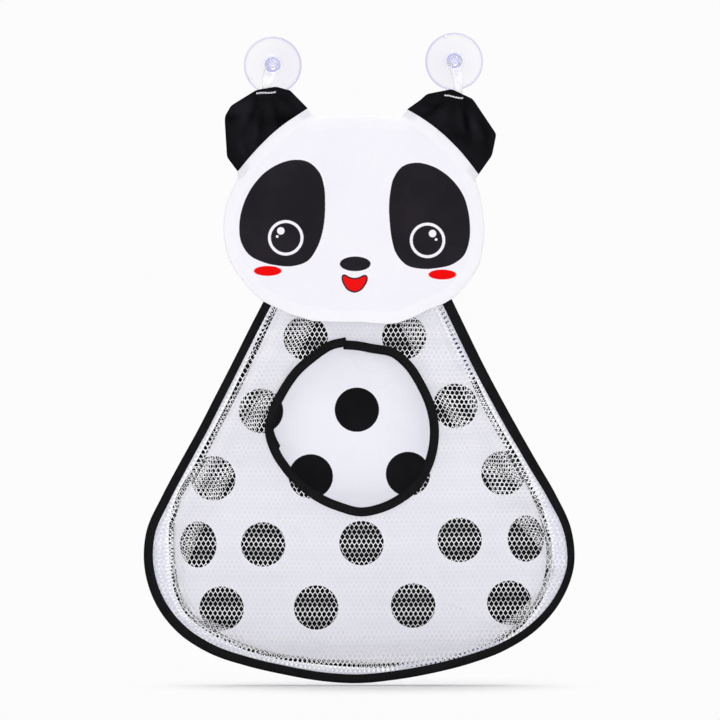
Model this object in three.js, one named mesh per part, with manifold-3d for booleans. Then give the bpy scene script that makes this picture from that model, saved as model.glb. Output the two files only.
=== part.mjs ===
// Bath toy organizer: a net pouch under a flat animal-face head, hung on a wall by two suction cups.
// Millimetres, +Z up. The wall is the plane Y = 0, the pouch faces -Y, and +X is on the viewer's right.
// The origin is on the wall, midway between the two suction cups.
import * as THREE from 'three';
import { mergeVertices } from 'three/addons/utils/BufferGeometryUtils.js';
import Module from 'manifold-3d';

const wasm = await Module();
wasm.setup();

// Gaps and overruns
const seamGap = 0.3;
const cutOverrun = 6;

// Layers of cloth, net and tape
const clothThickness = 0.8;
const netThickness = 1.0;
const tapeThickness = 0.8;
const gussetThickness = 0.6;

// Suction cups
const cupSpacing = 141;
const cupLevelDifference = 3;
const cupDiameter = 45;
const cupLipThickness = 1.1;
const cupRimLand = 1.3;
const cupDishDepth = 6;
const cupDishFloorRadius = 5.5;
const cupShoulderDepth = 8.6;
const cupShoulderRadius = 8;
const cupCollarDepth = 12.4;
const cupCollarRadius = 7.4;
const cupNeckRadius = 2.7;
const cupNeckLength = 6.6;
const cupKnobRadius = 6;
const cupKnobLength = 4.6;
const mouldMarkRadius = 1.2;
const mouldMarkHeight = 0.5;
const mouldMarkPlace = 20.2;

// Hanging straps, a ribbon looped round each neck
const strapThickness = 0.8;
const strapLoopWidth = 4.2;
const strapTailWidth = 6;
const strapTailLength = 5;
const leftTailShift = -3.4;
const leftTailSpread = 1.9;
const rightTailShift = 3.1;
const rightTailSpread = 0.3;

// Bartacks, the short rows of stitches that hold the straps
const bartackLength = 15;
const bartackWidth = 1.6;
const bartackHeight = 0.6;
const leftBartackShift = -5;
const leftBartackDrop = 21.6;
const rightBartackShift = -0.4;
const rightBartackDrop = 27.7;

// Head, two layers of cloth
const headWidth = 201.3;
const headHeight = 167.1;
const headShift = -7.6;
const headTopDrop = 35.2;
const headCrown = 2.2;
const headFoldHeight = 0.8;
const headFoldWidth = 7;

// Ears, two layers of satin each
const leftEarDepth = 41.2;
const rightEarDepth = 40;

// Pouch
const pouchWidth = 335;
const pouchHeight = 301;
const pouchShift = -3;
const pouchTuck = 22.3;
const pouchBindingWidth = 6.4;
const hingeRise = 10.3;
const pouchDepthAtHinge = 6.3;
const wallClearance = 3.5;

// Back panel
const backWidth = 298;
const backHeight = 289.6;
const backShift = -2.3;
const backBindingWidth = 4;
const backSeamRise = 40;
const backSeamAllowance = 8;

// Mouth of the pouch
const mouthWidth = 134.2;
const mouthHeight = 139.3;
const mouthShift = -8.7;
const mouthDrop = 80;
const mouthBindingWidth = 6.7;
const mouthLapLength = 7;
const mouthLapHeight = 0.5;

// Gusset, folded inwards between the front and the back
const gussetTopReach = 44;
const gussetSideReach = 41;
const gussetBottomReach = 31;

// Gaps of the net
const netGapPitch = 15;
const netGapRowPitch = 10.8;
const netGapWidth = 9.6;
const netGapHeight = 15.4;
const netGapMargin = 2.6;

// Angles, in degrees
const pouchLean = 3;
const headFlare = 16;

// Counts
const cupSegments = 32;
const pouchSteps = 56;
const backSteps = 48;
const mouthSteps = 44;
const gussetSteps = 44;
const headColumns = 20;
const headRows = 16;

// Colours and finishes
const finish = (color, roughness, metalness = 0) => new THREE.MeshStandardMaterial({ color, roughness, metalness });
const clearVinyl = finish(0xd9dbf2, 0.12);
clearVinyl.transparent = true;
clearVinyl.opacity = 0.45;
const whiteRibbon = finish(0xf6f6fa, 0.45);
const whiteThread = finish(0xf2f2f5, 0.7);
const whiteCloth = finish(0xf0f0f7, 0.8);
const blackSatin = finish(0x151517, 0.5);
const blackTape = finish(0x0c0c0e, 0.55);
const whiteNet = finish(0xf5f5fb, 0.6);

// Helpers that make closed solids
const radians = THREE.MathUtils.degToRad;

function meshOf(positions, triangles) {
	const geometry = new THREE.BufferGeometry();
	geometry.setAttribute('position', new THREE.Float32BufferAttribute(positions, 3));
	geometry.setIndex(triangles);
	return geometry;
}

function solidOf(geometry) {
	const bare = geometry.clone();
	bare.deleteAttribute('normal');
	bare.deleteAttribute('uv');
	const merged = mergeVertices(bare, seamGap / 1000);
	return new wasm.Manifold(new wasm.Mesh({
		numProp: 3,
		vertProperties: new Float32Array(merged.attributes.position.array),
		triVerts: new Uint32Array(merged.index.array),
	}));
}

function geometryOf(solid) {
	const mesh = solid.getMesh();
	return meshOf(mesh.vertProperties, Array.from(mesh.triVerts));
}

// Points are [x, z] pairs in the plane of the wall; the plate spans front to back along Y.
function plate(outline, front, back) {
	const shape = new THREE.Shape(outline.map(([x, z]) => new THREE.Vector2(x, z)));
	const geometry = new THREE.ExtrudeGeometry(shape, { depth: back - front, bevelEnabled: false });
	geometry.rotateX(Math.PI / 2);
	geometry.translate(0, back, 0);
	return geometry;
}

function signedVolume(positions, triangles) {
	const [a, b, c] = [new THREE.Vector3(), new THREE.Vector3(), new THREE.Vector3()];
	let sum = 0;
	for (let i = 0; i < triangles.length; i += 3) {
		a.fromArray(positions, 3 * triangles[i]);
		b.fromArray(positions, 3 * triangles[i + 1]);
		c.fromArray(positions, 3 * triangles[i + 2]);
		sum += a.dot(b.cross(c));
	}
	return sum;
}

// Joins rings of [x, y, z] points into one closed body; an open run gets flat ends, cut by endSection.
function loft(rings, endSection) {
	const count = rings[0].length;
	const positions = rings.flat(2);
	const triangles = [];
	const last = endSection ? rings.length - 1 : rings.length;
	for (let i = 0; i < last; i++) {
		const next = (i + 1) % rings.length;
		for (let j = 0; j < count; j++) {
			const [a, b] = [i * count + j, i * count + (j + 1) % count];
			const [c, d] = [next * count + (j + 1) % count, next * count + j];
			triangles.push(a, b, c, a, c, d);
		}
	}
	if (endSection) {
		const contour = endSection.map(([u, v]) => new THREE.Vector2(u, v));
		const flip = THREE.ShapeUtils.isClockWise(contour) ? -1 : 1;
		for (const [a, b, c] of THREE.ShapeUtils.triangulateShape(contour, [])) {
			const end = (rings.length - 1) * count;
			if (flip > 0) triangles.push(a, c, b, end + a, end + b, end + c);
			else triangles.push(a, b, c, end + a, end + c, end + b);
		}
	}
	if (signedVolume(positions, triangles) < 0) triangles.reverse();
	return meshOf(positions, triangles);
}

// The unit direction inwards at each point of a counter-clockwise outline, square to its two neighbours.
function inwards(outline, closed) {
	const last = outline.length - 1;
	return outline.map((_, i) => {
		const before = outline[closed ? (i + last) % outline.length : Math.max(i - 1, 0)];
		const after = outline[closed ? (i + 1) % outline.length : Math.min(i + 1, last)];
		const length = Math.hypot(after[0] - before[0], after[1] - before[1]);
		return [-(after[1] - before[1]) / length, (after[0] - before[0]) / length];
	});
}

function inset(outline, distance, closed) {
	const directions = inwards(outline, closed);
	return outline.map(([x, z], i) => [x + directions[i][0] * distance, z + directions[i][1] * distance]);
}

function smooth(points, steps, closed = false) {
	const curve = new THREE.CatmullRomCurve3(points.map(([x, z]) => new THREE.Vector3(x, 0, z)), closed);
	const spaced = curve.getSpacedPoints(steps).map(({ x, z }) => [x, z]);
	return closed ? spaced.slice(0, -1) : spaced;
}

// Tape folded over an edge: legs on both faces of a layer, a web outside its edge.
function foldedTape(width, layer) {
	const inner = layer / 2 + seamGap;
	const outer = inner + tapeThickness;
	const web = tapeThickness;
	return [[0, -outer], [width, -outer], [width, -inner], [web, -inner],
		[web, inner], [width, inner], [width, outer], [0, outer]];
}

function sweepTape(outline, section, closed, depthAt) {
	const layers = section.map(([across]) => inset(outline, across, closed));
	const rings = outline.map((_, i) => section.map(([, depth], j) => {
		const [x, z] = layers[j][i];
		return [x, depthAt(z) + depth, z];
	}));
	return loft(rings, closed ? undefined : section);
}

// Datums that several pieces share
const headCentre = [headShift, -headTopDrop - headHeight / 2];
const headBottom = -headTopDrop - headHeight;
const hingeZ = headBottom + hingeRise;
const pouchTop = headBottom + pouchTuck;
const neckBack = -cupCollarDepth;
const knobBack = neckBack - cupNeckLength;
const tapeHalf = netThickness / 2 + seamGap + tapeThickness;
const earRear = knobBack + cupNeckLength / 2 + clothThickness / 2;
const headRear = earRear;
const hingeY = headRear + tapeHalf + seamGap - (pouchTuck - hingeRise) * Math.tan(radians(pouchLean)) / 2;
const pouchBottom = pouchTop - pouchHeight;
const backTop = pouchTop;
const backBottom = backTop - backHeight;

const backLayerFront = headRear - clothThickness;
const frontLayerFront = backLayerFront - seamGap - clothThickness;
const netPlaneAt = (z) => hingeY - (hingeZ - z) * Math.tan(radians(pouchLean));

// The back panel leaves the head's rear face, steps back behind the pouch and leans to the wall.
const backProfile = [
	[backTop + backSeamRise, headRear + seamGap + clothThickness / 2],
	[backTop + backSeamRise - backSeamAllowance, headRear + seamGap + clothThickness / 2],
	[backTop, hingeY + pouchDepthAtHinge],
	[backBottom, -wallClearance],
];

function backPlaneAt(z) {
	const index = backProfile.findIndex(([level]) => z >= level);
	if (index === 0) return backProfile[0][1];
	if (index < 0) return backProfile.at(-1)[1];
	const [[upperZ, upperY], [lowerZ, lowerY]] = [backProfile[index - 1], backProfile[index]];
	return lowerY + (upperY - lowerY) * (z - lowerZ) / (upperZ - lowerZ);
}

// Outlines, as shares of each piece's width and height
const headRunShares = [
	[[-0.146, 0.449], [-0.065, 0.461], [0.017, 0.459], [0.098, 0.461], [0.178, 0.449]],
	[[0.207, 0.495], [0.253, 0.463], [0.297, 0.427], [0.339, 0.387], [0.378, 0.343], [0.415, 0.296],
	[0.449, 0.246], [0.481, 0.195]],
	[[0.467, 0.172], [0.485, 0.094], [0.496, 0.015], [0.502, -0.066], [0.496, -0.146],
	[0.482, -0.225], [0.447, -0.294], [0.405, -0.356], [0.351, -0.402], [0.289, -0.433],
	[0.229, -0.469], [0.166, -0.496]],
	[[0.125, -0.5], [0.031, -0.492], [-0.063, -0.491], [-0.157, -0.486]],
	[[-0.247, -0.454], [-0.305, -0.421], [-0.361, -0.383], [-0.407, -0.327], [-0.448, -0.266],
	[-0.479, -0.197], [-0.496, -0.122], [-0.5, -0.043], [-0.493, 0.034], [-0.472, 0.109],
	[-0.443, 0.179]],
	[[-0.446, 0.208], [-0.413, 0.257], [-0.379, 0.304], [-0.343, 0.349], [-0.305, 0.392],
	[-0.264, 0.431], [-0.221, 0.466], [-0.178, 0.5]],
];
const headRunSteps = [4, 8, 14, 3, 12, 8];
const headPoint = ([u, v]) => [headCentre[0] + u * headWidth, headCentre[1] + v * headHeight];
const headOutline = headRunShares.flatMap((run, i) => smooth(run.map(headPoint), headRunSteps[i])).reverse();

const pouchShares = [
	[-0.215, 0], [-0.255, 0.086], [-0.294, 0.173], [-0.334, 0.26], [-0.374, 0.347], [-0.416, 0.432],
	[-0.457, 0.518], [-0.493, 0.607], [-0.498, 0.703], [-0.472, 0.796], [-0.419, 0.872],
	[-0.345, 0.925], [-0.263, 0.956], [-0.178, 0.978], [-0.091, 0.995], [-0.004, 1.001],
	[0.083, 0.992], [0.169, 0.975], [0.254, 0.951], [0.335, 0.917], [0.409, 0.864], [0.465, 0.791],
	[0.496, 0.701], [0.49, 0.604], [0.455, 0.516], [0.411, 0.431], [0.368, 0.347], [0.326, 0.262],
	[0.285, 0.175], [0.247, 0.088], [0.209, 0],
];
const pouchOutline = smooth(pouchShares.map(([u, v]) => [pouchShift + u * pouchWidth, pouchTop - v * pouchHeight]),
	pouchSteps);

const backShares = [
	[-0.218, 0], [-0.336, 0.265], [-0.417, 0.425], [-0.487, 0.559], [-0.5, 0.66], [-0.472, 0.831],
	[-0.386, 0.911], [-0.255, 0.967], [-0.103, 0.991], [0.098, 1], [0.245, 0.98], [0.327, 0.95],
	[0.418, 0.892], [0.482, 0.799], [0.5, 0.697], [0.482, 0.595], [0.436, 0.48], [0.335, 0.3], [0.206, 0],
];
const backOutline = smooth(backShares.map(([u, v]) => [backShift + u * backWidth, backTop - v * backHeight]),
	backSteps);

const mouthShares = [
	[-0.052, 0.498], [-0.136, 0.476], [-0.245, 0.407], [-0.343, 0.322], [-0.418, 0.219],
	[-0.477, 0.105], [-0.506, -0.019], [-0.471, -0.143], [-0.4, -0.251], [-0.31, -0.344],
	[-0.203, -0.419], [-0.082, -0.47], [0.045, -0.5], [0.173, -0.478], [0.291, -0.423],
	[0.392, -0.344], [0.458, -0.237], [0.494, -0.117], [0.5, 0.009], [0.473, 0.133], [0.419, 0.248],
	[0.347, 0.355], [0.245, 0.436], [0.115, 0.462], [0.032, 0.477], [-0.009, 0.486],
];
const mouthCentre = [mouthShift, headBottom - mouthDrop];
const mouthOutline = smooth(mouthShares.map(([u, v]) =>
	[mouthCentre[0] + u * mouthWidth, mouthCentre[1] + v * mouthHeight]), mouthSteps, true);

// Suction cup, turned about its own axis along Y
function cup(markDirection) {
	const rim = cupDiameter / 2;
	const profile = [
		[0, cupDishDepth], [cupDishFloorRadius, cupDishDepth], [rim * 0.66, cupDishDepth * 0.45],
		[rim - cupRimLand, 0], [rim, 0], [rim, cupLipThickness],
		[rim * 0.72, cupDishDepth * 0.45 + cupLipThickness * 1.6], [cupShoulderRadius, cupShoulderDepth],
		[cupCollarRadius, cupCollarDepth], [cupNeckRadius, cupCollarDepth],
		[cupNeckRadius, cupCollarDepth + cupNeckLength], [cupKnobRadius, cupCollarDepth + cupNeckLength],
		[cupKnobRadius, cupCollarDepth + cupNeckLength + cupKnobLength * 0.5],
		[cupKnobRadius * 0.7, cupCollarDepth + cupNeckLength + cupKnobLength * 0.9],
		[0, cupCollarDepth + cupNeckLength + cupKnobLength],
	].map(([radius, depth]) => new THREE.Vector2(radius, depth));
	const body = new THREE.LatheGeometry(profile, cupSegments);
	const markHeight = cupLipThickness + cupDishDepth * 0.2 + mouldMarkHeight;
	const mark = new THREE.CylinderGeometry(mouldMarkRadius, mouldMarkRadius, markHeight, cupSegments / 2);
	mark.translate(markDirection[0] * mouldMarkPlace, cupLipThickness * 0.6 + markHeight / 2,
		-markDirection[1] * mouldMarkPlace);
	const geometry = geometryOf(solidOf(body).add(solidOf(mark)));
	return geometry.rotateX(Math.PI);
}

// Strap: a ribbon that stands on edge round the neck and turns flat behind the ear
function strap(tailShift, tailSpread, tailDrop) {
	const loopRadius = cupNeckRadius + seamGap + strapThickness / 2;
	const loopY = knobBack + cupNeckLength / 2;
	const frontTailY = earRear + seamGap + strapThickness / 2;
	const backTailY = frontTailY + strapThickness + seamGap;
	const tailZ = -tailDrop - strapTailLength;
	const strandSteps = 9;
	const loopSteps = 12;
	const strand = (side, tailY) => Array.from({ length: strandSteps }, (_, i) => {
		const along = i / strandSteps;
		const settle = THREE.MathUtils.smoothstep(1 - along, 0, 0.6);
		return {
			x: THREE.MathUtils.lerp(tailShift + side * tailSpread, side * loopRadius, along),
			y: THREE.MathUtils.lerp(loopY, tailY, settle),
			z: THREE.MathUtils.lerp(tailZ, 0, along),
			twist: settle * Math.PI / 2 * -side,
			width: THREE.MathUtils.lerp(strapLoopWidth, strapTailWidth, settle),
			normal: [side, 0],
		};
	});
	const loop = Array.from({ length: loopSteps + 1 }, (_, i) => {
		const angle = Math.PI - Math.PI * i / loopSteps;
		return {
			x: loopRadius * Math.cos(angle), y: loopY, z: loopRadius * Math.sin(angle), twist: 0,
			width: strapLoopWidth, normal: [Math.cos(angle), Math.sin(angle)],
		};
	});
	const path = [...strand(-1, frontTailY), ...loop, ...strand(1, backTailY).reverse()];
	const section = [[-1, -1], [1, -1], [1, 1], [-1, 1]];
	const rings = path.map(({ x, y, z, twist, width, normal }) => {
		const side = new THREE.Vector3(normal[0], 0, normal[1]);
		const depth = new THREE.Vector3(0, 1, 0);
		const across = depth.clone().multiplyScalar(Math.cos(twist)).addScaledVector(side, Math.sin(twist));
		const through = side.clone().multiplyScalar(Math.cos(twist)).addScaledVector(depth, -Math.sin(twist));
		return section.map(([u, v]) => new THREE.Vector3(x, y, z)
			.addScaledVector(across, u * width / 2).addScaledVector(through, v * strapThickness / 2).toArray());
	});
	return loft(rings, section);
}

function bartack(tilt) {
	const half = bartackLength / 2;
	const teeth = 9;
	const edge = (side) => Array.from({ length: teeth }, (_, i) => {
		const zigzag = (i % 2 ? 1 : 0.55) * bartackWidth / 2;
		return [side * (-half + bartackLength * i / (teeth - 1)), side * -zigzag];
	});
	const outline = [...edge(1), ...edge(-1)];
	return plate(outline, -bartackHeight, 0).rotateY(-radians(tilt));
}

// Ear: shares along the chord between the arc's ends and outwards from it
const leftEarShares = [[0.018, 0.336], [0.259, 0.868], [0.296, 0.931], [0.415, 1], [0.726, 0.899],
	[0.906, 0.697], [0.97, 0.517], [0.988, 0.481]];
const rightEarShares = [[0.029, 0.442], [0.133, 0.769], [0.151, 0.805], [0.244, 0.849], [0.57, 1],
	[0.8, 0.865], [0.956, 0.474], [0.963, 0.314]];

function ear(lowerShare, upperShare, depth, shares, outward, front) {
	const [lower, upper] = [headPoint(lowerShare), headPoint(upperShare)];
	const chord = [upper[0] - lower[0], upper[1] - lower[1]];
	const length = Math.hypot(...chord);
	const away = [-chord[1] / length * outward, chord[0] / length * outward];
	const place = ([along, out]) => [lower[0] + chord[0] * along + away[0] * depth * out,
		lower[1] + chord[1] * along + away[1] * depth * out];
	const rim = shares.map(place);
	const root = [[0.9, -0.2], [0.1, -0.2]].map(place);
	const outline = [lower, ...rim, upper, ...root];
	const blank = solidOf(plate(outward > 0 ? outline.reverse() : outline, front, front + clothThickness));
	const clearance = inset(headOutline, -seamGap, true);
	const head = solidOf(plate(clearance, front - cutOverrun, front + clothThickness + cutOverrun));
	return geometryOf(blank.subtract(head));
}

// Head panels: a grid of cloth, cut to the head's outline
function headSurface(x, z, crown) {
	const flare = -Math.max(0, hingeZ - z) * Math.tan(radians(headFlare));
	if (!crown) return flare;
	const u = (x - headCentre[0]) / (headWidth / 2);
	const v = (z - headCentre[1]) / (headHeight / 2);
	const dome = Math.max(0, 1 - u * u) * Math.max(0, 1 - v * v) * headCrown;
	const fold = (from, to) => {
		const [a, b] = [headPoint(from), headPoint(to)];
		const run = [b[0] - a[0], b[1] - a[1]];
		const length = Math.hypot(...run);
		const along = ((x - a[0]) * run[0] + (z - a[1]) * run[1]) / (length * length);
		const aside = ((x - a[0]) * run[1] - (z - a[1]) * run[0]) / length;
		const fade = Math.max(0, along) * Math.max(0, 1 - along) * 4;
		return headFoldHeight * fade * Math.exp(-((aside / headFoldWidth) ** 2));
	};
	const folds = fold([-0.178, 0.5], [-0.1, -0.3]) + fold([0.207, 0.495], [0.12, -0.3])
		+ fold([-0.446, 0.208], [-0.05, -0.05]) + fold([0.481, 0.195], [0.06, -0.05]);
	return flare - dome - folds;
}

function headPanel(front, crown, columns, rows) {
	const [width, height] = [headWidth + cutOverrun, headHeight + cutOverrun];
	const levels = Array.from({ length: rows + 1 }, (_, i) => headCentre[1] + height / 2 - height * i / rows);
	const misses = levels.map((level) => Math.abs(level - hingeZ));
	levels[misses.indexOf(Math.min(...misses))] = hingeZ;
	const [positions, triangles] = [[], []];
	for (const face of [0, clothThickness]) {
		for (const z of levels) {
			for (let column = 0; column <= columns; column++) {
				const x = headCentre[0] - width / 2 + width * column / columns;
				positions.push(x, front + face + headSurface(x, z, crown), z);
			}
		}
	}
	const stride = columns + 1;
	const rear = stride * (rows + 1);
	const quad = (a, b, c, d) => triangles.push(a, b, c, a, c, d);
	for (let row = 0; row < rows; row++) {
		for (let column = 0; column < columns; column++) {
			const corner = row * stride + column;
			const corners = [corner, corner + stride, corner + stride + 1, corner + 1];
			quad(...corners);
			quad(...corners.map((index) => index + rear).reverse());
		}
	}
	const rimEdge = [];
	for (let column = 0; column < columns; column++) rimEdge.push(column);
	for (let row = 0; row < rows; row++) rimEdge.push(row * stride + columns);
	for (let column = columns; column > 0; column--) rimEdge.push(rows * stride + column);
	for (let row = rows; row > 0; row--) rimEdge.push(row * stride);
	rimEdge.forEach((a, i) => {
		const b = rimEdge[(i + 1) % rimEdge.length];
		quad(a, b, b + rear, a + rear);
	});
	const slab = solidOf(meshOf(positions, triangles));
	const blade = solidOf(plate(headOutline, front - cutOverrun * 2, front + clothThickness + cutOverrun * 2));
	return geometryOf(slab.intersect(blade));
}

function backPanel() {
	const half = clothThickness / 2;
	const profile = [...backProfile];
	profile[profile.length - 1] = [backBottom - cutOverrun, backPlaneAt(backBottom - cutOverrun)];
	const section = [...profile.map(([z, y]) => [y - half, z]), ...profile.map(([z, y]) => [y + half, z]).reverse()];
	const shape = new THREE.Shape(section.map(([y, z]) => new THREE.Vector2(y, z)));
	const sheet = new THREE.ExtrudeGeometry(shape, { depth: backWidth + cutOverrun * 2, bevelEnabled: false });
	sheet.rotateX(Math.PI / 2).rotateZ(Math.PI / 2);
	sheet.translate(backShift - backWidth / 2 - cutOverrun, 0, 0);
	const edge = inset(backOutline, tapeThickness + seamGap, false);
	const [first, last] = [edge[0], edge.at(-1)];
	const seam = backTop + backSeamRise;
	const narrowing = backSeamRise * 0.4;
	const outline = [...edge, [last[0] - narrowing, seam], [first[0] + narrowing, seam]];
	const blade = solidOf(plate(outline, -cutOverrun * 6, cutOverrun));
	return geometryOf(solidOf(sheet).intersect(blade));
}

// The pouch front is made flat about the hinge line, then leant forwards in its group.
const toHinge = (outline) => outline.map(([x, z]) => [x, z - hingeZ]);

function inside([x, z], outline) {
	let within = false;
	outline.forEach(([x1, z1], i) => {
		const [x2, z2] = outline[(i + 1) % outline.length];
		if ((z1 > z) !== (z2 > z) && x < x1 + (x2 - x1) * (z - z1) / (z2 - z1)) within = !within;
	});
	return within;
}

function frontMesh() {
	const edge = toHinge(inset(pouchOutline, tapeThickness + seamGap, false));
	const hole = toHinge(inset(mouthOutline, mouthBindingWidth - tapeThickness - seamGap, true));
	const field = toHinge(inset(pouchOutline, pouchBindingWidth + netGapMargin, false));
	const guard = toHinge(inset(mouthOutline, -netGapMargin, true));
	const [front, back] = [-netThickness / 2, netThickness / 2];
	const sheet = solidOf(plate(edge, front, back));
	const holes = [solidOf(plate(hole, front - cutOverrun, back + cutOverrun))];
	const bottom = pouchBottom - hingeZ;
	const top = pouchTop - hingeZ - netGapMargin;
	const rows = Math.floor((top - bottom) / netGapRowPitch);
	const columns = Math.ceil(pouchWidth / netGapPitch);
	for (let row = 0; row <= rows; row++) {
		const z = top - netGapHeight / 2 - row * netGapRowPitch;
		for (let column = 0; column <= columns; column++) {
			const stagger = row % 2 ? netGapPitch / 2 : 0;
			const x = pouchShift - pouchWidth / 2 + stagger + column * netGapPitch;
			const diamond = [[x - netGapWidth / 2, z], [x, z - netGapHeight / 2],
				[x + netGapWidth / 2, z], [x, z + netGapHeight / 2]];
			const clear = diamond.every((corner) => inside(corner, field) && !inside(corner, guard));
			if (clear) holes.push(solidOf(plate(diamond, front - cutOverrun, back + cutOverrun)));
		}
	}
	return geometryOf(sheet.subtract(wasm.Manifold.union(holes)));
}

function mouthTape() {
	const section = foldedTape(mouthBindingWidth, netThickness)
		.map(([across, depth]) => [mouthBindingWidth - across, depth]);
	const path = toHinge(mouthOutline);
	const ring = solidOf(sweepTape(path, section, true, () => 0));
	const start = path[0];
	const lapFront = -tapeHalf - mouthLapHeight;
	const lapBox = new THREE.BoxGeometry(mouthLapLength, mouthLapHeight * 2, mouthBindingWidth);
	lapBox.translate(start[0] - mouthLapLength / 2, lapFront + mouthLapHeight,
		start[1] - mouthBindingWidth / 2 - mouthLapHeight);
	return geometryOf(ring.add(solidOf(lapBox)));
}

// Gusset: a strip from the back's edge to the front's edge, folded inwards along its middle
function gusset() {
	const front = smooth(pouchOutline, gussetSteps);
	const back = smooth(backOutline, gussetSteps);
	const reachAt = (z) => {
		const down = (pouchTop - z) / pouchHeight;
		const side = THREE.MathUtils.mapLinear(down, 0, 0.55, gussetTopReach, gussetSideReach);
		return THREE.MathUtils.lerp(side, gussetBottomReach, THREE.MathUtils.smoothstep(down, 0.6, 0.85));
	};
	const frontEdge = inset(front, pouchBindingWidth / 2, false);
	const backEdge = inset(back, backBindingWidth / 2, false);
	const backHalf = clothThickness / 2 + seamGap + tapeThickness;
	const normals = inwards(front, false);
	const rings = front.map(([x, z], i) => {
		const reach = reachAt(z);
		const fold = [x + normals[i][0] * reach, z + normals[i][1] * reach];
		const tip = [x + normals[i][0] * (reach - gussetThickness), z + normals[i][1] * (reach - gussetThickness)];
		const [near, far] = [frontEdge[i], backEdge[i]];
		const nearY = netPlaneAt(near[1]) + tapeHalf + seamGap;
		const farY = backPlaneAt(far[1]) - backHalf - seamGap;
		const foldY = (nearY + farY) / 2;
		return [[near[0], nearY, near[1]], [fold[0], foldY - gussetThickness, fold[1]],
			[fold[0], foldY + gussetThickness, fold[1]], [far[0], farY, far[1]],
			[far[0], farY - gussetThickness, far[1]], [tip[0], foldY, tip[1]],
			[near[0], nearY + gussetThickness, near[1]]];
	});
	const endSection = rings[0].map(([x, y]) => [x, y]);
	return loft(rings, endSection);
}

// Assembly
const organizer = new THREE.Group();

function addPiece(parent, name, geometry, material) {
	const mesh = new THREE.Mesh(geometry, material);
	mesh.name = name;
	parent.add(mesh);
	return mesh;
}

const sides = [
	{ side: 'left', knob: [-cupSpacing / 2, -cupLevelDifference / 2], mark: [-0.87, -0.5],
		tailShift: leftTailShift, tailSpread: leftTailSpread,
		bartackShift: leftBartackShift, bartackDrop: leftBartackDrop, tilt: 4,
		lowerShare: [-0.446, 0.208], upperShare: [-0.178, 0.5], depth: leftEarDepth, shares: leftEarShares, outward: 1 },
	{ side: 'right', knob: [cupSpacing / 2, cupLevelDifference / 2], mark: [-0.34, 0.94],
		tailShift: rightTailShift, tailSpread: rightTailSpread,
		bartackShift: rightBartackShift, bartackDrop: rightBartackDrop, tilt: -9,
		lowerShare: [0.481, 0.195], upperShare: [0.207, 0.495], depth: rightEarDepth, shares: rightEarShares, outward: -1 },
];

for (const { side, knob, mark, tailShift, tailSpread, bartackShift, bartackDrop, tilt,
	lowerShare, upperShare, depth, shares, outward } of sides) {
	const hanger = new THREE.Group();
	hanger.position.set(knob[0], 0, knob[1]);
	organizer.add(hanger);
	addPiece(hanger, `${side}_suction_cup`, cup(mark), clearVinyl);
	addPiece(hanger, `${side}_strap`, strap(tailShift, tailSpread, bartackDrop), whiteRibbon);
	const tack = addPiece(hanger, `${side}_strap_bartack`, bartack(tilt), whiteThread);
	tack.position.set(bartackShift, frontLayerFront - seamGap, -bartackDrop);
	addPiece(organizer, `${side}_ear_back`, ear(lowerShare, upperShare, depth, shares, outward, backLayerFront),
		blackSatin);
	addPiece(organizer, `${side}_ear_front`, ear(lowerShare, upperShare, depth, shares, outward, frontLayerFront),
		blackSatin);
}

addPiece(organizer, 'head_back_panel', headPanel(backLayerFront, false, 2, 12), whiteCloth);
addPiece(organizer, 'head_front_panel', headPanel(frontLayerFront, true, headColumns, headRows), whiteCloth);
addPiece(organizer, 'back_panel', backPanel(), whiteCloth);
addPiece(organizer, 'rear_edge_binding',
	sweepTape(backOutline, foldedTape(backBindingWidth, clothThickness), false, backPlaneAt), blackTape);
addPiece(organizer, 'gusset_mesh', gusset(), whiteNet);

const pouchFront = new THREE.Group();
pouchFront.position.set(0, hingeY, hingeZ);
pouchFront.rotation.x = -radians(pouchLean);
organizer.add(pouchFront);
addPiece(pouchFront, 'front_mesh', frontMesh(), whiteNet);
addPiece(pouchFront, 'front_edge_binding',
	sweepTape(toHinge(pouchOutline), foldedTape(pouchBindingWidth, netThickness), false, () => 0), blackTape);
addPiece(pouchFront, 'mouth_binding', mouthTape(), blackTape);

export default organizer;
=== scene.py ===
# %% [markdown]
# # A bath toy organizer
# The real object is a pouch of knitted net under a flat head of printed cloth. Two suction cups hold it
# on a bathroom wall, so that wet toys drip dry. This script dresses a measured model of it: every piece
# of cloth, net, tape and vinyl is built where the measured solid lies, with its real thickness.

# %% Load the measured frame
import math

import bpy
import numpy as np
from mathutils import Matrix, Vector
from mathutils.geometry import delaunay_2d_cdt


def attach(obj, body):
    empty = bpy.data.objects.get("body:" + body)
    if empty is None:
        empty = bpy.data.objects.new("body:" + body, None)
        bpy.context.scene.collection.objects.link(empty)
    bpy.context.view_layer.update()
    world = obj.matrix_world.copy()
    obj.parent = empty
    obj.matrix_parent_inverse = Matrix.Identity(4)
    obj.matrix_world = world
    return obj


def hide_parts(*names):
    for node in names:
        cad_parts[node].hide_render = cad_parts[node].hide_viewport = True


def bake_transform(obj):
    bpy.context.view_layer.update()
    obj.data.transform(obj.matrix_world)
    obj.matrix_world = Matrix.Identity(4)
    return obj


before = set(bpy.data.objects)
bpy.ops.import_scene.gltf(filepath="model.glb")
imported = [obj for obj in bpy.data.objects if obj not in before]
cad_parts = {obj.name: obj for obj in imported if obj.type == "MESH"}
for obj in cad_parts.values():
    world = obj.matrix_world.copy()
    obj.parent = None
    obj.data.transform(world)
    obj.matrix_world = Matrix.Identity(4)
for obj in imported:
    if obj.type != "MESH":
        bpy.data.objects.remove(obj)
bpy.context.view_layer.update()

# %% [markdown]
# ## The camera
# The photograph looks straight at the object from far away, so its sides run parallel. A long lens far
# back gives the same picture. The lens follows from the distance and from the width that the picture
# has to show, so nothing is set by eye.

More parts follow.
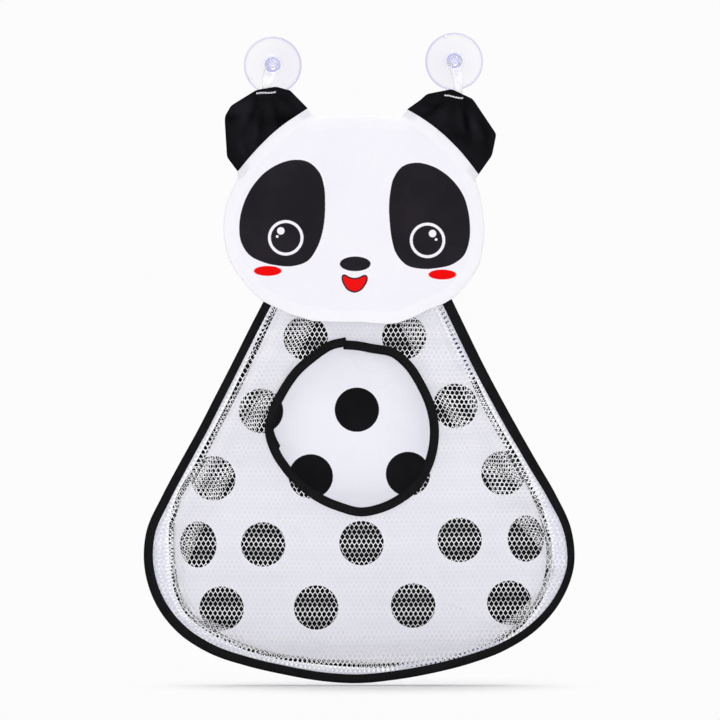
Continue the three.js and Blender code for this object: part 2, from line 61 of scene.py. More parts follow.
# %% Place the camera
PIXELS = 720
PIXEL_SIZE = 0.000776
ORIGIN_PIXEL = (363.45, 63.1)
CAMERA_DISTANCE = 10.0
OBJECT_DEPTH = -0.015

camera_data = bpy.data.cameras.new("studio_camera")
camera_data.lens = camera_data.sensor_width * CAMERA_DISTANCE / (PIXELS * PIXEL_SIZE)
camera = bpy.data.objects.new("studio_camera", camera_data)
camera.location = (
    (PIXELS / 2 - ORIGIN_PIXEL[0]) * PIXEL_SIZE,
    OBJECT_DEPTH - CAMERA_DISTANCE,
    (ORIGIN_PIXEL[1] - PIXELS / 2) * PIXEL_SIZE,
)
camera.rotation_euler = (math.pi / 2, 0, 0)
bpy.context.collection.objects.link(camera)
bpy.context.scene.camera = camera
print(f"lens {camera_data.lens:.1f} mm, camera at {tuple(round(v, 3) for v in camera.location)}")

# %% [markdown]
# ## Nodes without clicking
# A material is a tree of nodes. These helpers add a node, set its options and fill its sockets, either
# with a value or with a link from another node. They keep the cells below short enough to read.

# %% Helpers for nodes
def add_node(tree, kind, options=None, sockets=None):
    node = tree.nodes.new(kind)
    for option, setting in (options or {}).items():
        setattr(node, option, setting)
    for key, value in (sockets or {}).items():
        if isinstance(value, bpy.types.NodeSocket):
            tree.links.new(value, node.inputs[key])
        else:
            node.inputs[key].default_value = value
    return node


def maths(tree, operation, *values, clamp=False):
    options = {"operation": operation, "use_clamp": clamp}
    return add_node(tree, "ShaderNodeMath", options, dict(enumerate(values))).outputs[0]


def vector_maths(tree, operation, *values):
    return add_node(tree, "ShaderNodeVectorMath", {"operation": operation}, dict(enumerate(values)))


def blend_colours(tree, share, first, second):
    sockets = {0: share, 6: first, 7: second}
    return add_node(tree, "ShaderNodeMix", {"data_type": "RGBA"}, sockets).outputs[2]


def rescale(tree, value, low, high, to_low=0.0, to_high=1.0):
    sockets = {0: value, 1: low, 2: high, 3: to_low, 4: to_high}
    options = {"interpolation_type": "SMOOTHSTEP"}
    return add_node(tree, "ShaderNodeMapRange", options, sockets).outputs[0]


def attribute(tree, name):
    return add_node(tree, "ShaderNodeAttribute", {"attribute_name": name}).outputs["Fac"]


def object_point(tree):
    return add_node(tree, "ShaderNodeTexCoord").outputs["Object"]


def noise(tree, point, scale, detail, **more):
    sockets = {"Vector": point, "Scale": scale, "Detail": detail, **more}
    return add_node(tree, "ShaderNodeTexNoise", None, sockets).outputs[0]


def use_group(tree, group, **sockets):
    sockets = {key.replace("_", " "): value for key, value in sockets.items()}
    return add_node(tree, "ShaderNodeGroup", {"node_tree": group}, sockets).outputs


def new_group(name, inputs, outputs):
    tree = bpy.data.node_groups.new(name, "ShaderNodeTree")
    for socket, (kind, value) in inputs.items():
        made = tree.interface.new_socket(name=socket, in_out="INPUT", socket_type=kind)
        if value is not None:
            made.default_value = value
    for socket, kind in outputs.items():
        tree.interface.new_socket(name=socket, in_out="OUTPUT", socket_type=kind)
    return tree, tree.nodes.new("NodeGroupInput").outputs, tree.nodes.new("NodeGroupOutput").inputs


def new_material(name, **constants):
    material = bpy.data.materials.new(name)
    material.use_nodes = True
    shader = material.node_tree.nodes["Principled BSDF"]
    for key, value in constants.items():
        shader.inputs[key.replace("_", " ")].default_value = value
    return material, material.node_tree, shader


def raise_surface(tree, shader, height, strength, distance, **more):
    sockets = {"Strength": strength, "Distance": distance, "Height": height, **more}
    bump = add_node(tree, "ShaderNodeBump", None, sockets)
    tree.links.new(bump.outputs[0], shader.inputs["Normal"])


NUMBER, COLOUR, VECTOR = "NodeSocketFloat", "NodeSocketColor", "NodeSocketVector"
print("node helpers ready")

# %% [markdown]
# ## Light
# A product picture on white has light from all round. The world gives an even base. A far lamp shines
# straight on the front, so that cloth behind the net is lit through the same holes that show it. A soft
# lamp high on the left shapes the folds, a weaker one fills from the right, one hangs overhead and one
# lights the back. The level is plain: a surface that faces the camera shows about its own colour. What
# the camera, mirrors and clear vinyl see behind the object is white, which Light Path keeps apart from
# the light that falls on the object.

# %% World
WORLD_LEVEL = 0.24
BACKDROP_WHITE = 0.973

world = bpy.data.worlds.new("studio")
bpy.context.scene.world = world
world.use_nodes = True
world.node_tree.nodes.clear()


def seen_directly(tree):
    rays = add_node(tree, "ShaderNodeLightPath").outputs
    seen = maths(tree, "MAXIMUM", rays["Is Camera Ray"], rays["Is Glossy Ray"])
    return maths(tree, "MAXIMUM", seen, rays["Is Transmission Ray"])


tree = world.node_tree
level = maths(tree, "MULTIPLY_ADD", seen_directly(tree), BACKDROP_WHITE - WORLD_LEVEL, WORLD_LEVEL)
background = add_node(tree, "ShaderNodeBackground", None, {"Color": (1, 1, 1, 1), "Strength": level})
add_node(tree, "ShaderNodeOutputWorld", None, {"Surface": background.outputs[0]})
bpy.context.scene.view_settings.view_transform = "Standard"
print("world level", WORLD_LEVEL)

# %% Lamps
LAMP_TARGET = Vector((0, -0.02, -0.25))


def soft_lamp(name, place, width, watts):
    lamp = bpy.data.lights.new(name, "AREA")
    lamp.shape, lamp.size, lamp.energy = "SQUARE", width, watts
    lamp_object = bpy.data.objects.new(name, lamp)
    lamp_object.location = place
    aim = LAMP_TARGET - lamp_object.location
    lamp_object.rotation_euler = aim.to_track_quat("-Z", "Y").to_euler()
    bpy.context.collection.objects.link(lamp_object)
    print(f"{name}: {watts} W, {width} m wide")


soft_lamp("front_lamp", (0, -11, -0.15), 1.2, 494)
soft_lamp("key_lamp", (-1.3, -1.5, 1.1), 1.3, 5)
soft_lamp("fill_lamp", (1.5, -1.7, 0.5), 1.6, 4)
soft_lamp("top_lamp", (0, 0.15, 2.0), 2.6, 40)
soft_lamp("back_lamp", (-0.4, 1.4, 1.6), 1.6, 17)

# %% [markdown]
# ## The floor
# The pouch hangs just above a white floor, and the only thing that shows of the floor is the soft grey
# shadow. Near the pouch the floor shows only the light that falls on it, and further out it turns as
# white as the background, so nothing but the shadow is left to see.

# %% Floor
FLOOR_LEVEL = -0.4827
FLOOR_HALF = 4.0
FLOOR_WHITE = 0.93
FLOOR_GREY = (0.85, 0.85, 0.85, 1)
SHADOW_REACH = (0.09, 0.36)
SHADOW_SQUASH = (1.8, 1, 0)

floor_mesh = bpy.data.meshes.new("studio_floor")
corners = [(-1, -1), (1, -1), (1, 1), (-1, 1)]
floor_points = [(x * FLOOR_HALF, y * FLOOR_HALF, FLOOR_LEVEL) for x, y in corners]
floor_mesh.from_pydata(floor_points, [], [(0, 1, 2, 3)])
floor = bpy.data.objects.new("studio_floor", floor_mesh)
bpy.context.collection.objects.link(floor)

floor_material = bpy.data.materials.new("white_floor")
floor_material.use_nodes = True
tree = floor_material.node_tree
tree.nodes.clear()
flattened = vector_maths(tree, "MULTIPLY", object_point(tree), SHADOW_SQUASH).outputs[0]
away = vector_maths(tree, "LENGTH", flattened).outputs["Value"]
open_floor = rescale(tree, away, *SHADOW_REACH)
plain = add_node(tree, "ShaderNodeBsdfDiffuse", None, {"Color": FLOOR_GREY}).outputs[0]
glow_level = maths(tree, "MULTIPLY", open_floor, BACKDROP_WHITE)
glow = add_node(tree, "ShaderNodeEmission", None, {"Strength": glow_level}).outputs[0]
shade = maths(tree, "MULTIPLY_ADD", open_floor, -FLOOR_WHITE, FLOOR_WHITE)
shade_colour = add_node(tree, "ShaderNodeCombineColor", None, {0: shade, 1: shade, 2: shade}).outputs[0]
lit = add_node(tree, "ShaderNodeBsdfDiffuse", None, {"Color": shade_colour}).outputs[0]
shown = add_node(tree, "ShaderNodeAddShader", None, {0: glow, 1: lit}).outputs[0]
either = {0: seen_directly(tree), 1: plain, 2: shown}
surface = add_node(tree, "ShaderNodeMixShader", None, either).outputs[0]
add_node(tree, "ShaderNodeOutputMaterial", None, {"Surface": surface})
floor_mesh.materials.append(floor_material)
print("floor at", FLOOR_LEVEL)

# %% [markdown]
# ## Effects that several finishes share
# Cloth looks like cloth because of things that repeat on every fabric: the weave, soft creases, slow
# changes of tone and the slightly ragged edge of printed ink. Each is built once here as a node group
# with named inputs, and every material below places the group with its own values.

# %% Group: plain weave
def plain_weave_group():
    inputs = {"Point": (VECTOR, None), "Pitch": (NUMBER, 0.0005), "Slub": (NUMBER, 0.4)}
    tree, given, result = new_group("plain weave", inputs, {"Height": NUMBER, "Slubs": NUMBER})
    threads = add_node(tree, "ShaderNodeSeparateXYZ", None, {0: given["Point"]}).outputs
    turns = maths(tree, "DIVIDE", math.pi, given["Pitch"])
    warp = maths(tree, "SINE", maths(tree, "MULTIPLY", threads["X"], turns))
    weft = maths(tree, "SINE", maths(tree, "MULTIPLY", threads["Z"], turns))
    crossings = maths(tree, "MULTIPLY_ADD", maths(tree, "MULTIPLY", warp, weft), 0.5, 0.5)
    scale = maths(tree, "DIVIDE", 0.35, given["Pitch"])
    streaks = []
    for stretch in ((1, 1, 0.06), (0.06, 1, 1)):
        stretched = vector_maths(tree, "MULTIPLY", given["Point"], stretch).outputs[0]
        streaks.append(noise(tree, stretched, scale, 1.0))
    slubs = maths(tree, "MULTIPLY", maths(tree, "ADD", *streaks), 0.5)
    raised = maths(tree, "MULTIPLY", slubs, given["Slub"])
    tree.links.new(maths(tree, "ADD", crossings, raised), result["Height"])
    tree.links.new(slubs, result["Slubs"])
    return tree


plain_weave = plain_weave_group()
print("group:", plain_weave.name)

# %% Group: soft creases
def soft_creases_group():
    inputs = {"Point": (VECTOR, None), "Size": (NUMBER, 0.04), "Sharpness": (NUMBER, 3.0)}
    tree, given, result = new_group("soft creases", inputs, {"Height": NUMBER})
    scale = maths(tree, "DIVIDE", 1.0, given["Size"])
    cloud = noise(tree, given["Point"], scale, 2.0, Distortion=0.7)
    centred = maths(tree, "MULTIPLY_ADD", cloud, 4.0, -2.0)
    ridge = maths(tree, "SUBTRACT", 1.0, maths(tree, "ABSOLUTE", centred), clamp=True)
    tree.links.new(maths(tree, "POWER", ridge, given["Sharpness"]), result["Height"])
    return tree


soft_creases = soft_creases_group()
print("group:", soft_creases.name)

# %% Group: slow changes of tone
def cloth_tone_group():
    inputs = {
        "Point": (VECTOR, None), "Colour": (COLOUR, (0.8, 0.8, 0.8, 1)),
        "Shade": (COLOUR, (0.7, 0.7, 0.7, 1)), "Size": (NUMBER, 0.05), "Slubs": (NUMBER, 0.5),
    }
    tree, given, result = new_group("cloth tone", inputs, {"Colour": COLOUR})
    scale = maths(tree, "DIVIDE", 1.0, given["Size"])
    slow = rescale(tree, noise(tree, given["Point"], scale, 3.0, Roughness=0.45), 0.3, 0.7)
    patches = maths(tree, "MULTIPLY", slow, 0.6)
    share = maths(tree, "MULTIPLY_ADD", given["Slubs"], 0.5, patches, clamp=True)
    tree.links.new(blend_colours(tree, share, given["Colour"], given["Shade"]), result["Colour"])
    return tree


cloth_tone = cloth_tone_group()


def toned(tree, point, colour, shade, size, slubs):
    """A colour that drifts to its shade in slow patches of this size and along thicker threads."""
    made = use_group(tree, cloth_tone, Point=point, Colour=colour, Shade=shade, Size=size, Slubs=slubs)
    return made["Colour"]


print("group:", cloth_tone.name)

# %% Groups: printed ink
def spot_distance_group():
    """How far a point is outside a round or oval spot, in metres; negative inside it."""
    inputs = {"Point": (VECTOR, None), "Centre": (VECTOR, None), "Half Size": (VECTOR, (0.01, 1, 0.01))}
    tree, given, result = new_group("spot distance", inputs, {"Distance": NUMBER})
    moved = vector_maths(tree, "SUBTRACT", given["Point"], given["Centre"]).outputs[0]
    flat = vector_maths(tree, "MULTIPLY", moved, (1, 0, 1)).outputs[0]
    shares = vector_maths(tree, "DIVIDE", flat, given["Half Size"]).outputs[0]
    beyond = maths(tree, "SUBTRACT", vector_maths(tree, "LENGTH", shares).outputs["Value"], 1.0)
    sizes = add_node(tree, "ShaderNodeSeparateXYZ", None, {0: given["Half Size"]}).outputs
    smaller = maths(tree, "MINIMUM", sizes["X"], sizes["Z"])
    tree.links.new(maths(tree, "MULTIPLY", beyond, smaller), result["Distance"])
    return tree


def ink_edge_group():
    """The share of ink on the cloth: 1 inside a printed shape, with an edge that follows the threads."""
    inputs = {"Distance": (NUMBER, 0.0), "Point": (VECTOR, None), "Bleed": (NUMBER, 0.0003)}
    tree, given, result = new_group("ink edge", inputs, {"Ink": NUMBER})
    ragged = maths(tree, "SUBTRACT", noise(tree, given["Point"], 900.0, 1.0), 0.5)
    spread = maths(tree, "MULTIPLY", ragged, given["Bleed"])
    reach = maths(tree, "SUBTRACT", spread, given["Distance"])
    share = maths(tree, "DIVIDE", reach, given["Bleed"])
    tree.links.new(maths(tree, "ADD", share, 0.5, clamp=True), result["Ink"])
    return tree


spot_distance = spot_distance_group()
ink_edge = ink_edge_group()
print("groups:", spot_distance.name, "and", ink_edge.name)

# %% Group: twisted thread
def twisted_thread_group():
    inputs = {"Point": (VECTOR, None), "Pitch": (NUMBER, 0.0004)}
    tree, given, result = new_group("twisted thread", inputs, {"Height": NUMBER})
    parts = add_node(tree, "ShaderNodeSeparateXYZ", None, {0: given["Point"]}).outputs
    slant = maths(tree, "ADD", parts["X"], maths(tree, "ADD", parts["Y"], parts["Z"]))
    turns = maths(tree, "DIVIDE", 2 * math.pi, given["Pitch"])
    strands = maths(tree, "SINE", maths(tree, "MULTIPLY", slant, turns))
    fluff = noise(tree, given["Point"], 2500.0, 2.0)
    tree.links.new(maths(tree, "MULTIPLY_ADD", strands, 0.3, fluff), result["Height"])
    return tree


twisted_thread = twisted_thread_group()
print("group:", twisted_thread.name)

# %% [markdown]
# ## The shapes of the cut pieces
# All outlines are drawn flat, in millimetres, as seen from the front: x to the right, z up. A few points
# are enough, because a rounded line runs through them. The same points and the same kind of curve made
# the measured solids, so cloth and solids fit without any adjusting.

# %% Helpers for flat outlines
def run_along(line):
    """The distance from the start of a line to each of its points."""
    return np.concatenate([[0], np.cumsum(np.linalg.norm(np.diff(line, axis=0), axis=1))])


def unit(vectors):
    return vectors / np.linalg.norm(vectors, axis=-1, keepdims=True)


def smooth_line(points, steps, closed=False):
    """A rounded line through the points, cut into equal steps."""
    p = np.asarray(points, float)
    p = np.vstack([p[-1], p, p[0], p[1]]) if closed else np.vstack([2 * p[0] - p[1], p, 2 * p[-1] - p[-2]])
    t = np.linspace(0, 1, 25)[:-1, None]
    pieces = []
    for a, b, c, d in zip(p, p[1:], p[2:], p[3:]):
        ab, bc, cd = (math.sqrt(np.linalg.norm(step)) for step in (b - a, c - b, d - c))
        leave = ((b - a) / ab - (c - a) / (ab + bc) + (c - b) / bc) * bc
        arrive = ((c - b) / bc - (d - b) / (bc + cd) + (d - c) / cd) * bc
        pieces.append(b + leave * t + (3 * (c - b) - 2 * leave - arrive) * t**2
                      + (2 * (b - c) + leave + arrive) * t**3)
    dense = np.vstack([*pieces, p[-2:-1]])
    run = run_along(dense)
    at = np.linspace(0, run[-1], steps + 1)
    line = np.column_stack([np.interp(at, run, column) for column in dense.T])
    return line[:-1] if closed else line


def inwards(outline, closed=False):
    """The unit direction into the piece at each point of a counter-clockwise outline."""
    if closed:
        run = np.roll(outline, -1, axis=0) - np.roll(outline, 1, axis=0)
    else:
        run = np.gradient(outline, axis=0)
    run = unit(run)
    return np.column_stack([-run[:, 1], run[:, 0]])


def inset(outline, distance, closed=False):
    return outline + inwards(outline, closed) * distance


def signed_area(outline):
    """The area inside an outline, negative where it runs clockwise."""
    x, z = outline.T
    return np.sum(x * np.roll(z, -1) - z * np.roll(x, -1)) / 2


def counter_clockwise(outline):
    return outline if signed_area(outline) > 0 else outline[::-1]


def inside(points, outline):
    x, z = points.T
    within = np.zeros(len(points), bool)
    for (x1, z1), (x2, z2) in zip(outline, np.roll(outline, -1, axis=0)):
        if z1 != z2:
            within ^= ((z1 > z) != (z2 > z)) & (x < x1 + (x2 - x1) * (z - z1) / (z2 - z1))
    return within


def distance_to(points, line, closed=True):
    nearest = np.full(len(points), np.inf)
    for a, b in zip(line, np.roll(line, -1, axis=0) if closed else line[1:]):
        run = b - a
        share = np.clip((points - a) @ run / (run @ run), 0, 1)
        nearest = np.minimum(nearest, np.hypot(*(points - a - share[:, None] * run).T))
    return nearest


def outside_by(points, outline):
    """Distance to an outline, negative inside it."""
    return distance_to(points, outline) * np.where(inside(points, outline), -1, 1)


def smooth_step(values, low, high):
    share = np.clip((values - low) / (high - low), 0, 1)
    return share * share * (3 - 2 * share)


print("outline helpers ready")

# %% Outlines of the head, pouch, back panel and mouth
HEAD_SIZE = np.array([201.3, 167.1])
HEAD_CENTRE = np.array([-7.6, -118.75])
HEAD_RUNS = [
    [(-0.146, 0.449), (-0.065, 0.461), (0.017, 0.459), (0.098, 0.461), (0.178, 0.449)],
    [(0.207, 0.495), (0.253, 0.463), (0.297, 0.427), (0.339, 0.387), (0.378, 0.343), (0.415, 0.296),
    (0.449, 0.246), (0.481, 0.195)],
    [(0.467, 0.172), (0.485, 0.094), (0.496, 0.015), (0.502, -0.066), (0.496, -0.146), (0.482, -0.225),
    (0.447, -0.294), (0.405, -0.356), (0.351, -0.402), (0.289, -0.433), (0.229, -0.469),
    (0.166, -0.496)],
    [(0.125, -0.5), (0.031, -0.492), (-0.063, -0.491), (-0.157, -0.486)],
    [(-0.247, -0.454), (-0.305, -0.421), (-0.361, -0.383), (-0.407, -0.327), (-0.448, -0.266),
    (-0.479, -0.197), (-0.496, -0.122), (-0.5, -0.043), (-0.493, 0.034), (-0.472, 0.109),
    (-0.443, 0.179)],
    [(-0.446, 0.208), (-0.413, 0.257), (-0.379, 0.304), (-0.343, 0.349), (-0.305, 0.392),
    (-0.264, 0.431), (-0.221, 0.466), (-0.178, 0.5)],
]
HEAD_STEPS = [16, 28, 52, 14, 46, 28]
RIGHT_ARC, LEFT_ARC = 1, 5

POUCH_WIDTH, POUCH_HEIGHT, POUCH_SHIFT, POUCH_TOP = 335, 301, -3, -180
POUCH_SHARES = [
    (-0.215, 0), (-0.255, 0.086), (-0.294, 0.173), (-0.334, 0.26), (-0.374, 0.347), (-0.416, 0.432),
    (-0.457, 0.518), (-0.493, 0.607), (-0.498, 0.703), (-0.472, 0.796), (-0.419, 0.872),
    (-0.345, 0.925), (-0.263, 0.956), (-0.178, 0.978), (-0.091, 0.995), (-0.004, 1.001),
    (0.083, 0.992), (0.169, 0.975), (0.254, 0.951), (0.335, 0.917), (0.409, 0.864), (0.465, 0.791),
    (0.496, 0.701), (0.49, 0.604), (0.455, 0.516), (0.411, 0.431), (0.368, 0.347), (0.326, 0.262),
    (0.285, 0.175), (0.247, 0.088), (0.209, 0),
]
BACK_WIDTH, BACK_HEIGHT, BACK_SHIFT = 298, 289.6, -2.3
BACK_SHARES = [
    (-0.218, 0), (-0.336, 0.265), (-0.417, 0.425), (-0.487, 0.559), (-0.5, 0.66), (-0.472, 0.831),
    (-0.386, 0.911), (-0.255, 0.967), (-0.103, 0.991), (0.098, 1), (0.245, 0.98), (0.327, 0.95),
    (0.418, 0.892), (0.482, 0.799), (0.5, 0.697), (0.482, 0.595), (0.436, 0.48), (0.335, 0.3), (0.206, 0),
]
MOUTH_SIZE = np.array([134.2, 139.3])
MOUTH_CENTRE = np.array([-8.7, -282.3])
MOUTH_SHARES = [
    (-0.052, 0.498), (-0.136, 0.476), (-0.245, 0.407), (-0.343, 0.322), (-0.418, 0.219),
    (-0.477, 0.105), (-0.506, -0.019), (-0.471, -0.143), (-0.4, -0.251), (-0.31, -0.344),
    (-0.203, -0.419), (-0.082, -0.47), (0.045, -0.5), (0.173, -0.478), (0.291, -0.423),
    (0.392, -0.344), (0.458, -0.237), (0.494, -0.117), (0.5, 0.009), (0.473, 0.133), (0.419, 0.248),
    (0.347, 0.355), (0.245, 0.436), (0.115, 0.462), (0.032, 0.477), (-0.009, 0.486),
]


def on_head(shares):
    return HEAD_CENTRE + np.asarray(shares) * HEAD_SIZE


def below_top(shares, shift, width, height):
    return np.array([(shift + u * width, POUCH_TOP - v * height) for u, v in shares])


head_runs = [smooth_line(on_head(run), steps) for run, steps in zip(HEAD_RUNS, HEAD_STEPS)]
head_outline = np.vstack(head_runs)[::-1]
pouch_points = below_top(POUCH_SHARES, POUCH_SHIFT, POUCH_WIDTH, POUCH_HEIGHT)
back_points = below_top(BACK_SHARES, BACK_SHIFT, BACK_WIDTH, BACK_HEIGHT)
mouth_points = MOUTH_CENTRE + np.array(MOUTH_SHARES) * MOUTH_SIZE
for name, line in (("head", head_outline), ("pouch", pouch_points), ("back panel", back_points)):
    print(f"{name}: {np.ptp(line[:, 0]):.1f} x {np.ptp(line[:, 1]):.1f} mm")

# %% [markdown]
# ## Depths
# The layers lie close together, and each has its own depth: y is 0 on the wall and falls towards the
# viewer. The front of the pouch leans 3 degrees forward from a hinge line behind the lower edge of the
# head. The back panel steps away behind it and then runs down along the wall.

# %% Depths of the layers
HINGE = (-13.714, -192.0)
LEAN = math.radians(3)
HEAD_FLARE = math.radians(16)
FRONT_LAYER, BACK_LAYER, SEAM_DEPTH = -16.8, -15.7, -16.25
CLOTH = 0.6
BACK_PROFILE = np.array([(-140, -14.6), (-148, -14.6), (-180, -7.414), (-469.6, -3.5), (-480, -3.36)])


def lean(points):
    """Turns [x, depth, z] points of the flat pouch front about its hinge line."""
    x, depth, z = np.asarray(points, float).T
    along = z - HINGE[1]
    y = HINGE[0] + depth * math.cos(LEAN) + along * math.sin(LEAN)
    return np.column_stack([x, y, HINGE[1] - depth * math.sin(LEAN) + along * math.cos(LEAN)])


def net_plane(z):
    return HINGE[0] - (HINGE[1] - z) * math.tan(LEAN)


def back_plane(z):
    """The depth of the back panel's middle, rounded where it bends."""
    offsets = np.linspace(-7, 7, 9)
    levels, depths = BACK_PROFILE[::-1].T
    return np.mean([np.interp(np.asarray(z) + offset, levels, depths) for offset in offsets], axis=0)


print(f"net plane from {net_plane(-192):.1f} to {net_plane(-480):.1f} mm in front of the wall")

# %% [markdown]
# ## From points to pieces
# Every piece is one closed mesh with its faces outwards, as a real layer has two sides and an edge.
# Cloth is filled with a lattice of small triangles, so it can carry folds and take measured values at
# its points. Tapes, cups and threads are rings of points joined one after the other.

# %% Helpers for meshes
MM = 0.001


def make_piece(name, points, faces, material):
    mesh = bpy.data.meshes.new(name)
    mesh.from_pydata((np.asarray(points) * MM).tolist(), [], faces)
    mesh.update()
    mesh.shade_smooth()
    mesh.materials.append(material)
    piece = bpy.data.objects.new(name, mesh)
    bpy.context.collection.objects.link(piece)
    return piece


def note(piece, **values):
    """Stores a value at each point, which a material can read by its name."""
    for name, value in values.items():
        stored = piece.data.attributes.new(name, "FLOAT", "POINT")
        stored.data.foreach_set("value", np.asarray(value, np.float32))


def fill_outline(outline, spacing):
    """Triangles inside a flat outline. The outline's points come first and keep their order."""
    low, high = outline.min(0), outline.max(0)
    rows = np.arange(low[1] + spacing / 2, high[1], spacing * 0.87)
    columns = np.arange(low[0] - spacing, high[0] + spacing, spacing)
    lattice = np.array([(x + spacing / 2 * (i % 2), z) for i, z in enumerate(rows) for x in columns])
    lattice = lattice[inside(lattice, outline)]
    lattice = lattice[distance_to(lattice, outline) > spacing * 0.55]
    points = np.vstack([outline, lattice])
    count = len(outline)
    edges = [(i, (i + 1) % count) for i in range(count)]
    found = delaunay_2d_cdt([Vector(p) for p in points], edges, [], 0, 1e-5, False)
    points, triangles = np.array([tuple(p) for p in found[0]]), np.array(found[2])
    kept = triangles[inside(points[triangles].mean(axis=1), outline)]
    return points, kept.tolist()


def cloth_panel(name, outline, spacing, middle, material, thickness=CLOTH):
    """A closed layer of cloth. middle(points) gives the depth of its middle surface."""
    points, triangles = fill_outline(outline, spacing)
    count, rim = len(points), len(outline)
    depth = middle(points)
    edge = inset(outline, -thickness * 0.45, closed=True)
    front = np.column_stack([points[:, 0], depth - thickness / 2, points[:, 1]])
    rear = front + (0, thickness, 0)
    around = np.column_stack([edge[:, 0], depth[:rim], edge[:, 1]])
    faces = triangles + [[i + count for i in reversed(face)] for face in triangles]
    for i in range(rim):
        j, mid = (i + 1) % rim, 2 * count
        faces.append([i, mid + i, mid + j, j])
        faces.append([mid + i, count + i, count + j, mid + j])
    piece = make_piece(name, np.vstack([front, rear, around]), faces, material)
    flat = np.vstack([points, points, edge])
    note(piece, right_side=np.concatenate([np.ones(count), np.zeros(count), np.full(rim, 0.5)]),
         from_edge=distance_to(flat, outline) * MM)
    print(f"{name}: {len(faces)} faces")
    return piece, flat


def tube_faces(length, around, first=0):
    """Faces of a run of rings with both ends closed, whose points are numbered from first."""
    faces = []
    for i in range(length - 1):
        low, high = first + i * around, first + (i + 1) * around
        for j in range(around):
            m = (j + 1) % around
            faces.append([low + j, low + m, high + m, high + j])
    faces.append([first + j for j in reversed(range(around))])
    faces.append([first + (length - 1) * around + j for j in range(around)])
    return faces


def sweep(name, rings, material):
    """Joins rings of points into one closed body."""
    length, around = rings.shape[:2]
    piece = make_piece(name, rings.reshape(-1, 3), tube_faces(length, around), material)
    face_outwards(piece)
    return piece


def signed_volume(piece):
    mesh = piece.data
    mesh.calc_loop_triangles()
    corners = np.empty(len(mesh.vertices) * 3)
    mesh.vertices.foreach_get("co", corners)
    index = np.empty(len(mesh.loop_triangles) * 3, int)
    mesh.loop_triangles.foreach_get("vertices", index)
    a, b, c = corners.reshape(-1, 3)[index.reshape(-1, 3)].transpose(1, 0, 2)
    return float(np.einsum("ij,ij->", a, np.cross(b, c)) / 6)


def face_outwards(piece):
    if signed_volume(piece) < 0:
        piece.data.flip_normals()


def assign(piece, body, node):
    """Hangs the piece on the body that carries it and hides the solid that it dresses."""
    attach(piece, body)
    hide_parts(node)


print("mesh helpers ready")

# %% [markdown]
# ## Finishes of the white cloths
# The head and the back are thin white polyester with a faint cool tone. Under even light most of what
# the eye reads as cloth is small: slow changes of tone, the weave at grazing light, and the paler band
# where the seam allowance lies double inside the edge. The print sits on top as ink.

# %% White cloth with seam allowance
WHITE_CLOTH = (0.915, 0.895, 0.955, 1)
WHITE_CLOTH_SHADE = (0.865, 0.855, 0.925, 1)
DOUBLED_CLOTH = (0.935, 0.93, 0.965, 1)
INK = (0.0185, 0.0150, 0.0205, 1)
INK_SHADE = (0.0095, 0.0082, 0.0110, 1)
RED_INK = (0.86, 0.0035, 0.0035, 1)
EAR_SHOWING = (0.52, 0.53, 0.60, 1)
SEAM_ALLOWANCE = 0.0085


def cloth_base(tree, colour=WHITE_CLOTH, shade=WHITE_CLOTH_SHADE, pitch=0.00032):
    """Point, weave and toned colour of a woven cloth."""
    point = object_point(tree)
    weave = use_group(tree, plain_weave, Point=point, Pitch=pitch, Slub=0.8)
    slubs = maths(tree, "SUBTRACT", weave["Slubs"], 0.5)
    return point, weave, toned(tree, point, colour, shade, 0.06, slubs)


def with_seam_allowance(tree, colour, fade_end, strength):
    """The colour, paler along the edge where the cloth lies double."""
    doubled = rescale(tree, attribute(tree, "from_edge"), SEAM_ALLOWANCE, fade_end, strength, 0.0)
    return blend_colours(tree, doubled, colour, DOUBLED_CLOTH)


def cloth_bump(tree, shader, point, weave, creases=0.0006, size=0.035):
    fold = use_group(tree, soft_creases, Point=point, Size=size, Sharpness=2.0)["Height"]
    folded = add_node(tree, "ShaderNodeBump", None, {"Strength": 0.5, "Distance": creases, "Height": fold})
    raise_surface(tree, shader, weave["Height"], 0.35, 0.00006, Normal=folded.outputs[0])


def white_cloth_finish(name):
    material, tree, shader = new_material(name, Roughness=0.85, Specular_IOR_Level=0.1)
    point, weave, colour = cloth_base(tree)
    tree.links.new(with_seam_allowance(tree, colour, 0.0095, 0.55), shader.inputs["Base Color"])
    cloth_bump(tree, shader, point, weave)
    return material


white_cloth = white_cloth_finish("white_cloth_finish")
print("finish:", white_cloth.name)

# %% [markdown]
# ## The face print
# A panda's face is printed on the head: two black eye patches with a white ring and two white glints
# each, a black nose, a red mouth with a black line round it, and two red cheeks. Ovals are drawn in the
# material from their centre and half axes. The patches and the mouth have free outlines, so each point
# of the cloth stores how far it is from them, and the ink starts where that distance passes zero.

# %% Print shapes
LEFT_PATCH = [
    (-55.0, -75.2), (-66.4, -78.6), (-76.6, -85.0), (-84.7, -93.8), (-90.8, -104.0), (-94.8, -115.2),
    (-96.4, -127.0), (-94.9, -138.9), (-88.5, -149.0), (-77.9, -154.5), (-66.2, -157.2),
    (-54.3, -157.5), (-43.2, -153.5), (-36.1, -143.6), (-32.0, -132.2), (-30.1, -120.3),
    (-29.7, -108.4), (-30.4, -96.4), (-34.1, -84.9), (-43.1, -76.6),
]
RIGHT_PATCH = [
    (41.1, -77.3), (30.3, -80.2), (23.4, -89.3), (20.7, -100.7), (19.8, -112.5), (20.4, -124.3),
    (21.9, -136.1), (25.3, -147.7), (33.5, -156.8), (45.2, -159.7), (57.0, -159.1), (68.5, -156.4),
    (77.9, -149.4), (82.0, -138.3), (82.7, -126.5), (81.3, -114.8), (77.9, -103.5), (71.5, -93.5),
    (62.8, -85.3), (52.4, -79.6),
]
